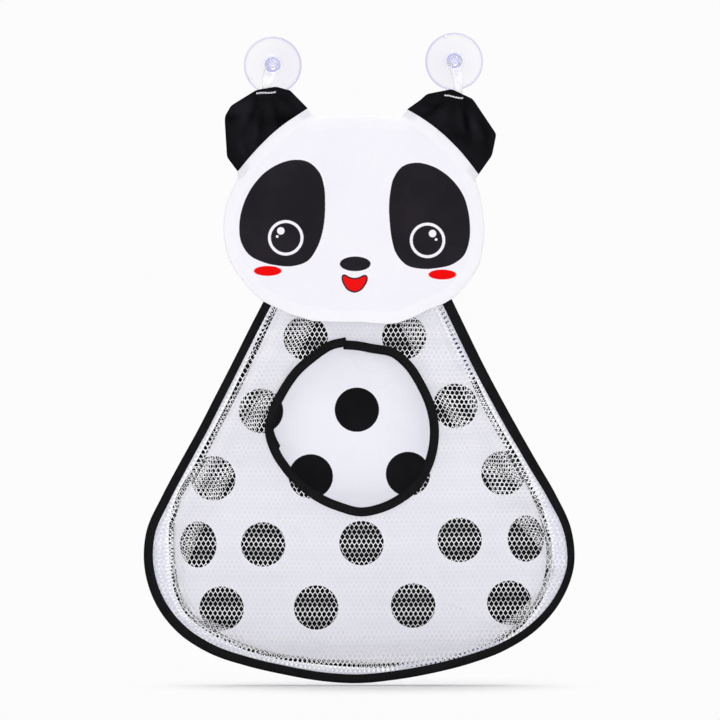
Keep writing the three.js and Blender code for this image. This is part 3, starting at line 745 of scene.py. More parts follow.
SMILE = [
    (-14.6, -163.9), (-10.8, -165.9), (-6.7, -166.7), (-3.1, -165.9), (0.6, -164.3), (2.9, -165.0),
    (3.4, -167.6), (1.9, -171.8), (-1.9, -176.4), (-6.9, -178.2), (-12.2, -176.3), (-15.5, -172.0),
    (-17.0, -167.6), (-16.6, -164.6),
]
RINGS = [(-60.3, -135.6), (49.7, -137.6)]
RING_OUTER, RING_WIDTH = 13.75, 2.25
GLINTS = [((-64.1, -130.2), 2.9), ((-66.9, -134.6), 1.05), ((53.6, -132.3), 2.9), ((56.4, -136.9), 1.05)]
NOSE, NOSE_HALF = (-6.4, -155.8), (12.0, 5.7)
CHEEKS, CHEEK_HALF = [(-74.3, -161.3), (61.2, -164.1)], (10.8, 3.9)
SMILE_LINE = 1.15


def spot(tree, point, centre, half):
    """Ink share of an oval spot given in millimetres."""
    half = half if isinstance(half, tuple) else (half, half)
    sockets = {
        "Point": point, "Centre": (centre[0] * MM, 0, centre[1] * MM),
        "Half_Size": (half[0] * MM, 1, half[1] * MM),
    }
    away = use_group(tree, spot_distance, **sockets)["Distance"]
    return use_group(tree, ink_edge, Distance=away, Point=point)["Ink"]


def most(tree, *shares):
    total = shares[0]
    for share in shares[1:]:
        total = maths(tree, "MAXIMUM", total, share)
    return total


print("print shapes:", len(LEFT_PATCH) + len(RIGHT_PATCH) + len(SMILE), "points")

# %% Printed face cloth
def face_cloth_finish():
    material, tree, shader = new_material("printed_face_finish", Roughness=0.8, Specular_IOR_Level=0.05)
    point, weave, colour = cloth_base(tree)
    colour = with_seam_allowance(tree, colour, 0.0098, 0.5)
    showing = maths(tree, "MULTIPLY", attribute(tree, "ear_seam"), 0.28)
    colour = blend_colours(tree, showing, colour, EAR_SHOWING)
    right_side = attribute(tree, "right_side")
    patch = use_group(tree, ink_edge, Distance=attribute(tree, "patch"), Point=point)["Ink"]
    smile = use_group(tree, ink_edge, Distance=attribute(tree, "smile"), Point=point)["Ink"]
    lips = maths(tree, "ADD", attribute(tree, "smile"), SMILE_LINE * MM)
    inner = use_group(tree, ink_edge, Distance=lips, Point=point)["Ink"]
    nose = spot(tree, point, NOSE, NOSE_HALF)
    outer = most(tree, *[spot(tree, point, ring, RING_OUTER) for ring in RINGS])
    core = most(tree, *[spot(tree, point, ring, RING_OUTER - RING_WIDTH) for ring in RINGS])
    glints = most(tree, *[spot(tree, point, centre, radius) for centre, radius in GLINTS])
    bare = maths(tree, "MAXIMUM", maths(tree, "SUBTRACT", outer, core, clamp=True), glints)
    black = maths(tree, "SUBTRACT", most(tree, patch, smile, nose), bare, clamp=True)
    ink = toned(tree, point, INK, INK_SHADE, 0.03, weave["Slubs"])
    colour = blend_colours(tree, maths(tree, "MULTIPLY", black, right_side), colour, ink)
    red = most(tree, inner, *[spot(tree, point, cheek, CHEEK_HALF) for cheek in CHEEKS])
    colour = blend_colours(tree, maths(tree, "MULTIPLY", red, right_side), colour, RED_INK)
    tree.links.new(colour, shader.inputs["Base Color"])
    tree.links.new(rescale(tree, black, 0, 1, 0.85, 0.6), shader.inputs["Roughness"])
    cloth_bump(tree, shader, point, weave)
    return material


face_cloth = face_cloth_finish()
print("finish:", face_cloth.name)

# %% [markdown]
# ## The head
# Two layers of cloth are sewn right sides together and turned, so the edge is a seam that pulls both
# layers in. The front bulges a little and carries faint tension folds from the corners where the ears
# pull. The lower edge stands out over the binding of the pouch, which is tucked in behind it.

# %% Surface of the head
HEAD_CROWN = 2.2
HEAD_FOLDS = [
    ((-0.178, 0.5), (-0.1, -0.3), 0.8, 7), ((0.207, 0.495), (0.12, -0.3), 0.8, 7),
    ((-0.446, 0.208), (-0.05, -0.05), 0.8, 7), ((0.481, 0.195), (0.06, -0.05), 0.8, 7),
    ((-0.43, 0.2), (-0.13, 0.46), 0.35, 3), ((0.44, 0.2), (0.15, 0.46), 0.35, 3),
    ((-0.4, 0.24), (-0.2, 0.02), 0.3, 2.5), ((0.2, 0.45), (0.07, 0.2), 0.4, 3.5),
    ((-0.36, -0.27), (-0.3, -0.47), 0.4, 4), ((0.3, -0.3), (0.36, -0.46), 0.4, 4),
]


def fold_height(points, start, end, height, width):
    """A soft ridge along a line, highest halfway."""
    start, end = np.asarray(start, float), np.asarray(end, float)
    run = end - start
    length = np.hypot(*run)
    along = (points - start) @ run / length**2
    aside = (points - start) @ np.array([run[1], -run[0]]) / length
    return height * np.clip(along, 0, 1) * np.clip(1 - along, 0, 1) * 4 * np.exp(-(aside / width) ** 2)


def flare(points):
    return -np.clip(HINGE[1] - points[:, 1], 0, None) * math.tan(HEAD_FLARE)


def seam_pull(points, outline, width=4.5):
    """1 on the seam, 0 further in."""
    return np.clip(1 - distance_to(points, outline) / width, 0, 1) ** 2


def head_front_depth(points):
    u, v = ((points - HEAD_CENTRE) / (HEAD_SIZE / 2)).T
    dome = np.clip(1 - u * u, 0, 1) * np.clip(1 - v * v, 0, 1) * HEAD_CROWN
    folds = sum(fold_height(points, on_head(a), on_head(b), *size) for a, b, *size in HEAD_FOLDS)
    pull = seam_pull(points, head_outline) * (SEAM_DEPTH - CLOTH / 2 - FRONT_LAYER)
    return FRONT_LAYER + flare(points) - (dome + folds) * (1 - seam_pull(points, head_outline)) + pull


def head_back_depth(points):
    pull = seam_pull(points, head_outline) * (SEAM_DEPTH + CLOTH / 2 - BACK_LAYER)
    return BACK_LAYER + flare(points) + pull


print("folds on the head:", len(HEAD_FOLDS))

# %% Build the two head panels
face, flat = cloth_panel("face_cloth", head_outline, 1.35, head_front_depth, face_cloth)
patch_lines = [smooth_line(patch, 120, closed=True) for patch in (LEFT_PATCH, RIGHT_PATCH)]
patches = np.minimum(*[outside_by(flat, line) for line in patch_lines])
smile = outside_by(flat, smooth_line(SMILE, 90, closed=True))
arcs = [head_runs[LEFT_ARC], head_runs[RIGHT_ARC]]
near_arc = np.min([distance_to(flat, arc, closed=False) for arc in arcs], axis=0)
arc_ends = [arc[end] for arc in arcs for end in (0, -1)]
near_end = np.min([np.hypot(*(flat - end).T) for end in arc_ends], axis=0)
EAR_ALLOWANCE, EAR_CORNER, FAINT = (5.5, 6.5), (7, 12), 0.12
at_corner = 1 - smooth_step(near_end, *EAR_CORNER)
ear_seam = (1 - smooth_step(near_arc, *EAR_ALLOWANCE)) * (FAINT + (1 - FAINT) * at_corner)
note(face, patch=patches * MM, smile=smile * MM, ear_seam=ear_seam)
assign(face, "bag", "head_front_panel")

head_back, flat = cloth_panel("head_back_cloth", head_outline, 4, head_back_depth, white_cloth)
assign(head_back, "bag", "head_back_panel")

# %% [markdown]
# ## The ears
# Each ear is two layers of black satin in the head's seam. The tack that holds the strap pins the
# layers together, and creases run out from it. Sheen and shade are painted into the satin's colour:
# each point stores a painted share, lighter on the flank of a crease that faces the lamp high on the
# left and darker on the other flank, with a few lighter and darker patches painted on top.

# %% Black satin
# A lit and a shaded colour of the same satin for its painted sheen and shade; the dark one is also the
# shade of its slow tone changes.
SATIN_PAINTED_SHEEN = (0.0140, 0.0130, 0.0170, 1)
SATIN_PAINTED_SHADE_AND_TONE = (0.0012, 0.0011, 0.0015, 1)


def satin_finish():
    material, tree, shader = new_material("black_satin_finish", Roughness=0.5, Specular_IOR_Level=0.02)
    # The base colour runs from the painted shade to the painted sheen at each point.
    nap = blend_colours(tree, attribute(tree, "nap"), SATIN_PAINTED_SHADE_AND_TONE, SATIN_PAINTED_SHEEN)
    point, weave, colour = cloth_base(tree, nap, SATIN_PAINTED_SHADE_AND_TONE, 0.00022)
    tree.links.new(colour, shader.inputs["Base Color"])
    tree.links.new(rescale(tree, weave["Slubs"], 0.3, 0.7, 0.42, 0.6), shader.inputs["Roughness"])
    cloth_bump(tree, shader, point, weave, 0.0012, 0.028)
    return material


black_satin = satin_finish()
print("finish:", black_satin.name)

# %% Outlines of the ears
# The last list of each ear holds painted patches of sheen and shade: centre, half size, and how much
# lighter or darker.
EARS = {
    "left": {
        "ends": ((-0.446, 0.208), (-0.178, 0.5)), "depth": 41.2, "outward": 1, "arc": LEFT_ARC,
        "shares": [(0.018, 0.336), (0.259, 0.868), (0.296, 0.931), (0.415, 1), (0.726, 0.899),
                   (0.906, 0.697), (0.97, 0.517), (0.988, 0.481)],
        "tack": (-75.5, -23.1),
        "creases": [((-82, -25), (-97, -58), 1.0, 4), ((-80, -27), (-84, -72), 0.9, 3.5),
                    ((-74, -27), (-66, -50), 0.8, 4), ((-68, -25), (-50, -42), 0.9, 3),
                    ((-95, -35), (-76, -60), 0.7, 5), ((-100, -45), (-88, -78), 0.6, 3)],
        "nap": [((-61, -44.2), (15, 5.5), -0.42), ((-96, -34.8), (9, 5), 0.35), ((-53, -32.5), (8, 6), 0.3),
                ((-92, -60), (7, 13), 0.25), ((-103.6, -42.6), (6, 3), -0.4), ((-78, -50), (5, 9), 0.12),
                ((-84, -31), (3, 9), -0.3)],
    },
    "right": {
        "ends": ((0.481, 0.195), (0.207, 0.495)), "depth": 40, "outward": -1, "arc": RIGHT_ARC,
        "shares": [(0.029, 0.442), (0.133, 0.769), (0.151, 0.805), (0.244, 0.849), (0.57, 1),
                   (0.8, 0.865), (0.956, 0.474), (0.963, 0.314)],
        "tack": (70.1, -26.2),
        "creases": [((63, -28), (42, -42), 0.9, 3.5), ((68, -30), (60, -55), 0.6, 5),
                    ((75, -29), (82, -66), 1.0, 3.5), ((78, -28), (96, -62), 0.8, 4),
                    ((60, -45), (86, -72), 0.6, 5), ((74, -34), (79, -52), 0.6, 2)],
        "nap": [((64.8, -44.2), (11, 8), 0.22), ((86, -40), (4, 13), 0.32), ((42.3, -34.8), (7, 3.5), 0.35),
                ((53.2, -32.8), (8, 2.8), -0.4), ((79, -46), (3.2, 17), -0.35), ((95, -62), (5, 14), -0.25),
                ((72, -58), (8, 6), -0.2)],
    },
}


def soften_corners(points, cut=2.2, steps=4):
    """Rounds each corner of an open line a little and fills its straight runs with points."""
    points = np.asarray(points, float)
    line = [points[0]]
    for before, corner, after in zip(points, points[1:], points[2:]):
        reach = [min(cut, np.linalg.norm(other - corner) / 2.2) for other in (before, after)]
        start = corner + (before - corner) / np.linalg.norm(before - corner) * reach[0]
        end = corner + (after - corner) / np.linalg.norm(after - corner) * reach[1]
        for t in np.linspace(0, 1, steps + 1):
            line.append((1 - t) ** 2 * start + 2 * t * (1 - t) * corner + t**2 * end)
    line.append(points[-1])
    filled = [line[0]]
    for a, b in zip(line, line[1:]):
        count = max(1, round(np.linalg.norm(b - a) / 1.6))
        filled += [a + (b - a) * i / count for i in range(1, count + 1)]
    return np.array(filled)


def ear_outline(ends, depth, outward, arc, shares, **_):
    lower, upper = on_head(ends[0]), on_head(ends[1])
    chord = upper - lower
    away = np.array([-chord[1], chord[0]]) / np.hypot(*chord) * outward * depth
    rim = [lower + chord * along + away * out for along, out in shares]
    edge = soften_corners([lower, *rim, upper])
    root = head_runs[arc] if arc == RIGHT_ARC else head_runs[arc][::-1]
    return counter_clockwise(np.vstack([edge, root[1:-1]]))


ear_outlines = {side: ear_outline(**ear) for side, ear in EARS.items()}
for side, outline in ear_outlines.items():
    print(f"{side} ear: {np.ptp(outline[:, 0]):.1f} x {np.ptp(outline[:, 1]):.1f} mm")

# %% Build the four ear layers
EAR_BULGE, BULGE_RUN, EAR_SEAM_WIDTH = 1.3, 12, 3.5
TACK_REACH, TACK_FADE = (9.5, 4), (0.6, 2.2)
REAR_CREASE_SHARE, REAR_LIFT = -0.3, (-0.2, 0.35)


def ear_depth(side, front):
    outline, ear = ear_outlines[side], EARS[side]
    face_way = -1 if front else 1
    layer = FRONT_LAYER if front else BACK_LAYER

    def depth(points):
        pull = seam_pull(points, outline, EAR_SEAM_WIDTH)
        inner = smooth_step(distance_to(points, outline), 0, BULGE_RUN)
        held = smooth_step(np.hypot(*((points - ear["tack"]) / TACK_REACH).T), *TACK_FADE)
        creases = sum(fold_height(points, *crease) for crease in ear["creases"])
        lift = (EAR_BULGE * inner + creases * (1 if front else REAR_CREASE_SHARE)) * held * (1 - pull)
        lift = lift if front else np.clip(lift, *REAR_LIFT)
        return layer + face_way * lift - face_way * pull * (abs(layer - SEAM_DEPTH) - CLOTH / 2)

    return depth


def ear_nap(points, creases, nap, **_):
    """Painted sheen and shade: 0 is darkest, 1 lightest, lighter on a crease's flank towards the left lamp.
    """
    total = np.full(len(points), 0.5)
    for start, end, height, width in creases:
        run = np.subtract(end, start)
        aside = (points - start) @ np.array([run[1], -run[0]]) / np.hypot(*run) / width
        total += 0.7 * aside * fold_height(points, start, end, height, width)
    for centre, reach, amount in nap:
        total += 1.2 * amount * np.exp(-np.sum(((points - centre) / reach) ** 2, axis=1))
    return np.clip(total, 0, 1)


for side in EARS:
    for layer, spacing in (("front", 1.5), ("back", 2.2)):
        piece, flat = cloth_panel(f"{side}_ear_satin_{layer}", ear_outlines[side], spacing,
                                  ear_depth(side, layer == "front"), black_satin)
        # Stores the painted sheen and shade of the satin at each point.
        note(piece, nap=ear_nap(flat, **EARS[side]))
        assign(piece, "bag", f"{side}_ear_{layer}")

# %% [markdown]
# ## The dotted back panel
# The back of the pouch is the same white cloth, printed with large black dots that show through the
# net. Only the front is printed, so the rear shows faint grey dots. The sheet hangs a little slack
# between its edges, and its top edge is stitched to the back of the head.

# %% Dotted cloth
BACK_CLOTH = (0.885, 0.885, 0.955, 1)
BACK_CLOTH_SHADE = (0.84, 0.84, 0.925, 1)
DOT_RADIUS = 17.25
DOT_INK = (0.0085, 0.0080, 0.0100, 1)
DOT_INK_SHADE = (0.0045, 0.0045, 0.0055, 1)
DOTS = [
    (-44.9, -213.2), (31.6, -212.5), (-79.5, -270.0), (-5.1, -269.0), (71.4, -266.1), (-116.6, -322.3),
    (-40.9, -320.8), (34.6, -318.9), (108.8, -318.1), (-77.9, -373.7), (-1.5, -372.6), (74.7, -370.2),
    (-110.2, -423.5), (-36.8, -422.7), (38.6, -421.2), (113.3, -419.0),
]
DRAWN_IN_DOTS = [(-128.3, -373.7), (126.2, -369.1)]
DRAWN_IN = (0.82, 1.04)


def dotted_cloth_finish():
    material, tree, shader = new_material("dotted_cloth_finish", Roughness=0.82, Specular_IOR_Level=0.05)
    point, weave, colour = cloth_base(tree, BACK_CLOTH, BACK_CLOTH_SHADE)
    dots = use_group(tree, ink_edge, Distance=attribute(tree, "dots"), Point=point)["Ink"]
    through = rescale(tree, attribute(tree, "right_side"), 0, 1, 0.1, 1.0)
    ink = toned(tree, point, DOT_INK, DOT_INK_SHADE, 0.03, weave["Slubs"])
    colour = blend_colours(tree, maths(tree, "MULTIPLY", dots, through), colour, ink)
    tree.links.new(colour, shader.inputs["Base Color"])
    cloth_bump(tree, shader, point, weave, 0.0012, 0.05)
    return material


dotted_cloth = dotted_cloth_finish()
print("dots:", len(DOTS))

# %% Build the back panel
TAPE, SEAM_GAP = 0.8, 0.3
back_outline = smooth_line(back_points, 190)
back_edge = inset(back_outline, TAPE + SEAM_GAP)
SEAM_TOP, SEAM_NARROWING = -140.5, 16
SLACK_FROM_EDGE, SLACK_BELOW = (0, 40), (178, 230)
first, last = back_edge[0], back_edge[-1]
seam_corners = [(last[0] - SEAM_NARROWING, SEAM_TOP), (first[0] + SEAM_NARROWING, SEAM_TOP)]
flap = soften_corners([back_edge[-1], *seam_corners, back_edge[0]])[1:-1]
back_cut = np.vstack([back_edge, flap])


def back_depth(points):
    x, z = points.T
    inner = smooth_step(distance_to(points, back_cut), *SLACK_FROM_EDGE) * smooth_step(-z, *SLACK_BELOW)
    waves = 0.5 * np.sin(x / 31 + 0.6) * np.sin(z / 43) + 0.35 * np.sin((x + z) / 24)
    return back_plane(z) + inner * (waves + 0.25)


back_cloth, flat = cloth_panel("dotted_back_cloth", back_cut, 2.4, back_depth, dotted_cloth)
dots = np.min([np.hypot(*(flat - dot).T) for dot in DOTS], axis=0) - DOT_RADIUS
for dot in DRAWN_IN_DOTS:
    dots = np.minimum(dots, np.hypot(*((flat - dot) / DRAWN_IN).T) - DOT_RADIUS)
note(back_cloth, dots=dots * MM)
assign(back_cloth, "bag", "back_panel")

# %% [markdown]
# ## The net
# The net is knitted: threads run together for a short way and part again, which leaves pointed
# hexagons. At this size the holes show as holes, so they are real openings in the mesh and not a
# picture of a net. A cell has a front ridge and a rear ridge where the threads run and an edge round
# its hole in between, which gives each thread a diamond section with a crisp edge at the hole. The
# rear ridges are deeper than a real thread's, which makes the net's surface larger. The rear ridges
# are deeper than a real thread's, for the reason that the last step gives.

# %% White net finish
NET_WHITE = (0.965, 0.96, 0.985, 1)
NET_SHADE = (0.93, 0.925, 0.965, 1)
# Painted shade: the colour of the gusset's gathered threads, standing in for the net layers that shadow
# each other there.
NET_PAINTED_SHADE = (0.76, 0.765, 0.87, 1)


def net_finish():
    material, tree, shader = new_material("white_net_finish", Specular_IOR_Level=0.6)
    point = object_point(tree)
    twist = use_group(tree, twisted_thread, Point=point, Pitch=0.0005)["Height"]
    colour = toned(tree, point, NET_WHITE, NET_SHADE, 0.01, maths(tree, "SUBTRACT", twist, 0.5))
    # Where the gusset is gathered, the base colour turns to the painted shade.
    colour = blend_colours(tree, attribute(tree, "gathered"), colour, NET_PAINTED_SHADE)
    tree.links.new(colour, shader.inputs["Base Color"])
    dullness = maths(tree, "MULTIPLY_ADD", attribute(tree, "gathered"), 0.3, 0.45)
    tree.links.new(dullness, shader.inputs["Roughness"])
    raise_surface(tree, shader, twist, 0.3, 0.0001)
    return material


white_net = net_finish()
print("finish:", white_net.name)

# %% Knit a net
NET_PITCH, NET_ROW = 3.7, 3.56
NET_POINT, NET_SIDE = 2.95, 0.61
KNOT, SHOULDER_SHARE = 0.12, 0.2
CORNERS = np.array([(0, 0), (1, 1), (1, 2), (0, 3), (-1, 2), (-1, 1)])


def hole_shape(thread):
    """Six corners of the hole that threads of this half width leave in a cell."""
    slant = math.hypot(NET_PITCH / 2, NET_POINT - NET_SIDE)
    side = NET_PITCH / 2 - thread
    point = NET_POINT - thread * slant / (NET_PITCH / 2) - KNOT
    shoulder = NET_SIDE - thread * SHOULDER_SHARE
    middle = 0 * side
    half = [(middle, point), (side, shoulder), (side, -shoulder)]
    return np.array(half + [(-x, -z) for x, z in half])


def knit(name, rows, columns, keep, lay, thread, ridges):
    """A net of staggered cells. keep(centres) picks cells; lay(points) returns places and normals.

    thread(centres) gives the half width of the threads round each cell, and ridges(places) the heights
    of their front and rear ridges.
    """
    row, column = np.mgrid[0:rows, 0:columns].reshape(2, -1)
    across = 2 * column + row % 2
    centres = np.column_stack([across * NET_PITCH / 2, -row * NET_ROW])
    kept = keep(centres)
    row, across, centres = row[kept], across[kept], centres[kept]
    keys = np.stack([across[:, None] + CORNERS[:, 0], 2 * row[:, None] + CORNERS[:, 1]], axis=-1)
    knots, index = np.unique(keys.reshape(-1, 2), axis=0, return_inverse=True)
    index = index.reshape(-1, 6)
    level = -(knots[:, 1] // 2) * NET_ROW + np.where(knots[:, 1] % 2, NET_SIDE, NET_POINT)
    knot_places = np.column_stack([knots[:, 0] * NET_PITCH / 2, level])
    size = 1 + 0.05 * np.sin(centres[:, :1] * 1.7 + centres[:, 1:] * 2.3)
    shapes = np.moveaxis(hole_shape(thread(centres)), -1, 0)
    hole_places = (centres[:, None] + shapes * size[:, None]).reshape(-1, 2)
    knot_at, knot_normal = lay(knot_places)
    hole_at, _ = lay(hole_places)
    front, rear = ridges(knot_at)
    count, holes = len(knots), 2 * len(knots)
    points = np.vstack([knot_at + knot_normal * front, knot_at - knot_normal * rear, hole_at])
    faces, edges = [], {}
    for cell, ring in enumerate(index.tolist()):
        start = holes + 6 * cell
        for k in range(6):
            m = (k + 1) % 6
            a, b = ring[k], ring[m]
            faces.append([start + k, start + m, b, a])
            faces.append([a + count, b + count, start + m, start + k])
            edges[(a, b)] = True
    for a, b in edges:
        if (b, a) not in edges:
            faces.append([a, b, b + count, a + count])
    piece = make_piece(name, points, faces, white_net)
    ends = np.empty(2 * len(piece.data.edges), int)
    piece.data.edges.foreach_get("vertices", ends)
    rim = (ends.reshape(-1, 2) >= holes).all(axis=1)
    piece.data.attributes.new("sharp_edge", "BOOLEAN", "EDGE").data.foreach_set("value", rim)
    print(f"{name}: {len(centres)} cells, {len(faces)} faces")
    return piece


FRONT_THREAD = 0.18
hole = hole_shape(FRONT_THREAD)
print(f"holes of {2 * hole[1][0]:.1f} by {2 * hole[0][1]:.1f} mm")

# %% [markdown]
# ## The front of the pouch
# The front net is one flat layer that leans forward from the hinge line. Its cut edges end inside the
# black tapes. A few slow waves keep the rows from looking ruled, as a knitted net never lies quite
# straight.

# %% Build the front net
pouch_outline = smooth_line(pouch_points, 240)
mouth_outline = smooth_line(mouth_points, 170, closed=True)
NET_TUCK, MOUTH_TUCK = 2.9, 2.6
net_area = inset(pouch_outline, NET_TUCK)
net_hole = inset(mouth_outline, MOUTH_TUCK, closed=True)
NET_CORNER = np.array([pouch_outline[:, 0].min() - 4, POUCH_TOP + 2])


def pouch_place(points):
    """From the net's own rows to the flat pouch front."""
    u, v = points.T
    x = u + 0.7 * np.sin(v / 37 + 0.4) + 0.35 * np.sin(u / 26 + v / 19)
    z = v + 0.8 * np.sin(u / 45 + 1.1) + 0.3 * np.sin(v / 15 + u / 31)
    return np.column_stack([x, z]) + NET_CORNER


def lay_front(points):
    flat = pouch_place(points)
    places = lean(np.column_stack([flat[:, 0], np.zeros(len(flat)), flat[:, 1]]))
    normal = np.array([0, -math.cos(LEAN), math.sin(LEAN)])
    return places, np.broadcast_to(normal, places.shape)


def keep_front(centres):
    flat = pouch_place(centres)
    return inside(flat, net_area) & ~inside(flat, net_hole)


rows = int(POUCH_HEIGHT / NET_ROW) + 3
columns = int(POUCH_WIDTH / NET_PITCH) + 4
FRONT_RIDGE, REAR_RIDGE = 0.03, 0.48
front_net = knit("front_net", rows, columns, keep_front, lay_front,
                 lambda centres: np.full(len(centres), FRONT_THREAD),
                 lambda places: (FRONT_RIDGE, REAR_RIDGE))
assign(front_net, "pouch_front", "front_mesh")

# %% [markdown]
# ## The gusset
# A strip of the same net joins the back to the front. Empty, it folds inwards along its middle like
# the side of a paper bag, so near the edge three layers of net lie behind each other.

# %% Build the gusset net
GUSSET_STEPS = 44
GUSSET_REACH = [
    (0.03, 44), (0.11, 41.6), (0.19, 40.5), (0.25, 39), (0.275, 32), (0.305, 24), (0.35, 22.5), (0.41, 29),
    (0.5, 31), (0.58, 28), (0.64, 20.5), (0.68, 21), (0.71, 18), (0.735, 20), (0.757, 29), (0.79, 38),
    (0.83, 41.5), (0.97, 45),
]
stations_front = smooth_line(pouch_points, GUSSET_STEPS)
stations_back = smooth_line(back_points, GUSSET_STEPS)
FRONT_TUCK, BACK_TUCK, FOLD_TURN = 2.4, 1.6, 0.6
BEHIND_FRONT, BEFORE_BACK = 1.35, 1.25

reach = np.interp(np.linspace(0, 1, GUSSET_STEPS + 1), *zip(*GUSSET_REACH))[:, None]
front_edge = inset(stations_front, FRONT_TUCK)
back_seam = inset(stations_back, BACK_TUCK)
fold_line = inset(stations_front, reach - FOLD_TURN)
edge_depth = net_plane(front_edge[:, 1]) + BEHIND_FRONT
seam_depth = back_plane(back_seam[:, 1]) - BEFORE_BACK
fold_depth = (net_plane(stations_front[:, 1]) + back_plane(stations_front[:, 1])) / 2
RAILS = [
    np.column_stack([front_edge[:, 0], edge_depth, front_edge[:, 1]]),
    np.column_stack([fold_line[:, 0], fold_depth, fold_line[:, 1]]),
    np.column_stack([back_seam[:, 0], seam_depth, back_seam[:, 1]]),
]
strip_length = np.linalg.norm(np.diff(front_edge, axis=0), axis=1).sum()
STRIP_HALF = 11 * NET_ROW
STRIP_MARGIN = 1.5
PARTING = 0.58


def on_rail(rail, share):
    at = np.clip(share, 0, 1) * (len(rail) - 1)
    return np.column_stack([np.interp(at, np.arange(len(rail)), column) for column in rail.T])


def strip_point(along, over):
    """over runs from 0 at the front edge to 2 at the back seam, and the strip is folded at 1.

    Near the fold its two halves lie cell on cell, and further out each turns to its own seam.
    """
    near, fold, far = (on_rail(rail, along) for rail in RAILS)
    share = np.abs(over - 1)[:, None]
    near_run, far_run = (np.linalg.norm(edge - fold, axis=1, keepdims=True) for edge in (near, far))
    common = (near - fold) * (far_run / near_run)
    seam = np.where(over[:, None] < 1, near, far)
    point = fold + common * share + (seam - (fold + common)) * smooth_step(share, PARTING, 1)
    point[:, 1] = (fold + (seam - fold) * share)[:, 1]
    return point


def lay_gusset(points):
    u, v = points.T
    along = (u + 0.5 * np.sin(np.abs(v + STRIP_HALF) / 7 + u / 23)) / strip_length
    over = np.clip(-v / STRIP_HALF, 0, 2)
    step = 1e-3
    here = strip_point(along, over)
    side = strip_point(along + step, over) - strip_point(along - step, over)
    down = strip_point(along, np.clip(over + step, 0, 2)) - strip_point(along, np.clip(over - step, 0, 2))
    normal = np.cross(side, down)
    normal /= np.maximum(np.linalg.norm(normal, axis=1, keepdims=True), 1e-9)
    ripple = 0.35 * np.sin(u / 5.3) * np.sin(over * math.pi)
    return here + normal * ripple[:, None], normal


def keep_gusset(centres):
    u, v = centres.T
    lengthwise = (u > STRIP_MARGIN) & (u < strip_length - STRIP_MARGIN)
    return lengthwise & (v < -STRIP_MARGIN) & (v > STRIP_MARGIN - 2 * STRIP_HALF)


GUSSET_THREADS = [(-7, 0.2), (-4.8, 0.09), (0, 0.09), (2.5, 0.9), (4.5, 1.35)]
DRAWN_TOGETHER = 4.5
BOTTOM_DRAWN = [(-150, 0), (-140, 0.4), (-72, 0.3), (-58, 0), (18, 0), (32, 1), (98, 1), (110, 0)]
GUSSET_RIDGE, GATHERED_RIDGE = 0.16, 0.32


def past_the_back(places):
    """How far outside the back a place is. High on the right, and along parts of the bottom, the strip
    is drawn in over the tape too."""
    x, _, z = places.T
    corner = smooth_step(x, 40, 60) * smooth_step(z, -250, -236)
    bottom = np.interp(x, *zip(*BOTTOM_DRAWN)) * smooth_step(-z, 430, 440)
    return outside_by(places[:, [0, 2]], back_cut) + DRAWN_TOGETHER * (corner + bottom)


def gusset_thread(centres):
    """Thin where the strip is stretched over the back tape, thick where it is drawn together outside."""
    return np.interp(past_the_back(lay_gusset(centres)[0]), *zip(*GUSSET_THREADS))


def gathered(places):
    return smooth_step(past_the_back(places), 0, 2.5)


def gusset_ridges(places):
    height = (GUSSET_RIDGE + (GATHERED_RIDGE - GUSSET_RIDGE) * gathered(places))[:, None]
    return height, height


gusset_net = knit("gusset_net", int(2 * STRIP_HALF / NET_ROW) + 2, int(strip_length / NET_PITCH) + 2,
                  keep_gusset, lay_gusset, gusset_thread, gusset_ridges)
corners = np.empty(3 * len(gusset_net.data.vertices))
gusset_net.data.vertices.foreach_get("co", corners)
# The share of gathering also sets where the threads get their painted shade.
note(gusset_net, gathered=gathered(corners.reshape(-1, 3) / MM))
face_outwards(gusset_net)
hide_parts("gusset_mesh")
STRIP_BOTTOM, BLEND_HALF = -470, 0.0026
middle = [(net_plane(z) + back_plane(np.array([z]))[0]) / 2 for z in (HINGE[1], STRIP_BOTTOM)]
tilt = math.atan((middle[1] - middle[0]) / (HINGE[1] - STRIP_BOTTOM))
centre = Vector((0, middle[0], HINGE[1])) * MM
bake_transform(gusset_net)
print(f"gusset strip {strip_length:.0f} mm long")

# %% [markdown]
# ## The black tapes
# Woven tape is folded over each cut edge and sewn down. Its section is a narrow U with a rounded back,
# and the two legs hold the net or the cloth between them. The section runs along the outline, and the
# row of stitches near the inner edge is real thread.

# %% Black tape finish
TAPE_BLACK = (0.0050, 0.0048, 0.0062, 1)
TAPE_SHADE = (0.0022, 0.0022, 0.0028, 1)


def place_on_strip(tree):
    """The place along and across a tape or ribbon, so that its weave follows its bends."""
    parts = {0: attribute(tree, "along"), 1: 0.0, 2: attribute(tree, "across")}
    return add_node(tree, "ShaderNodeCombineXYZ", None, parts).outputs[0]


def tape_finish():
    material, tree, shader = new_material("black_tape_finish", Roughness=0.55, Specular_IOR_Level=0.05)
    point = place_on_strip(tree)
    weave = use_group(tree, plain_weave, Point=point, Pitch=0.0006, Slub=0.6)
    colour = toned(tree, point, TAPE_BLACK, TAPE_SHADE, 0.012, weave["Slubs"])
    tree.links.new(colour, shader.inputs["Base Color"])
    tree.links.new(rescale(tree, weave["Slubs"], 0.3, 0.7, 0.45, 0.65), shader.inputs["Roughness"])
    raise_surface(tree, shader, weave["Height"], 0.5, 0.0001)
    return material


black_tape = tape_finish()
print("finish:", black_tape.name)

# %% Fold a tape over an edge
TAPE_CLEARANCE = 0.12


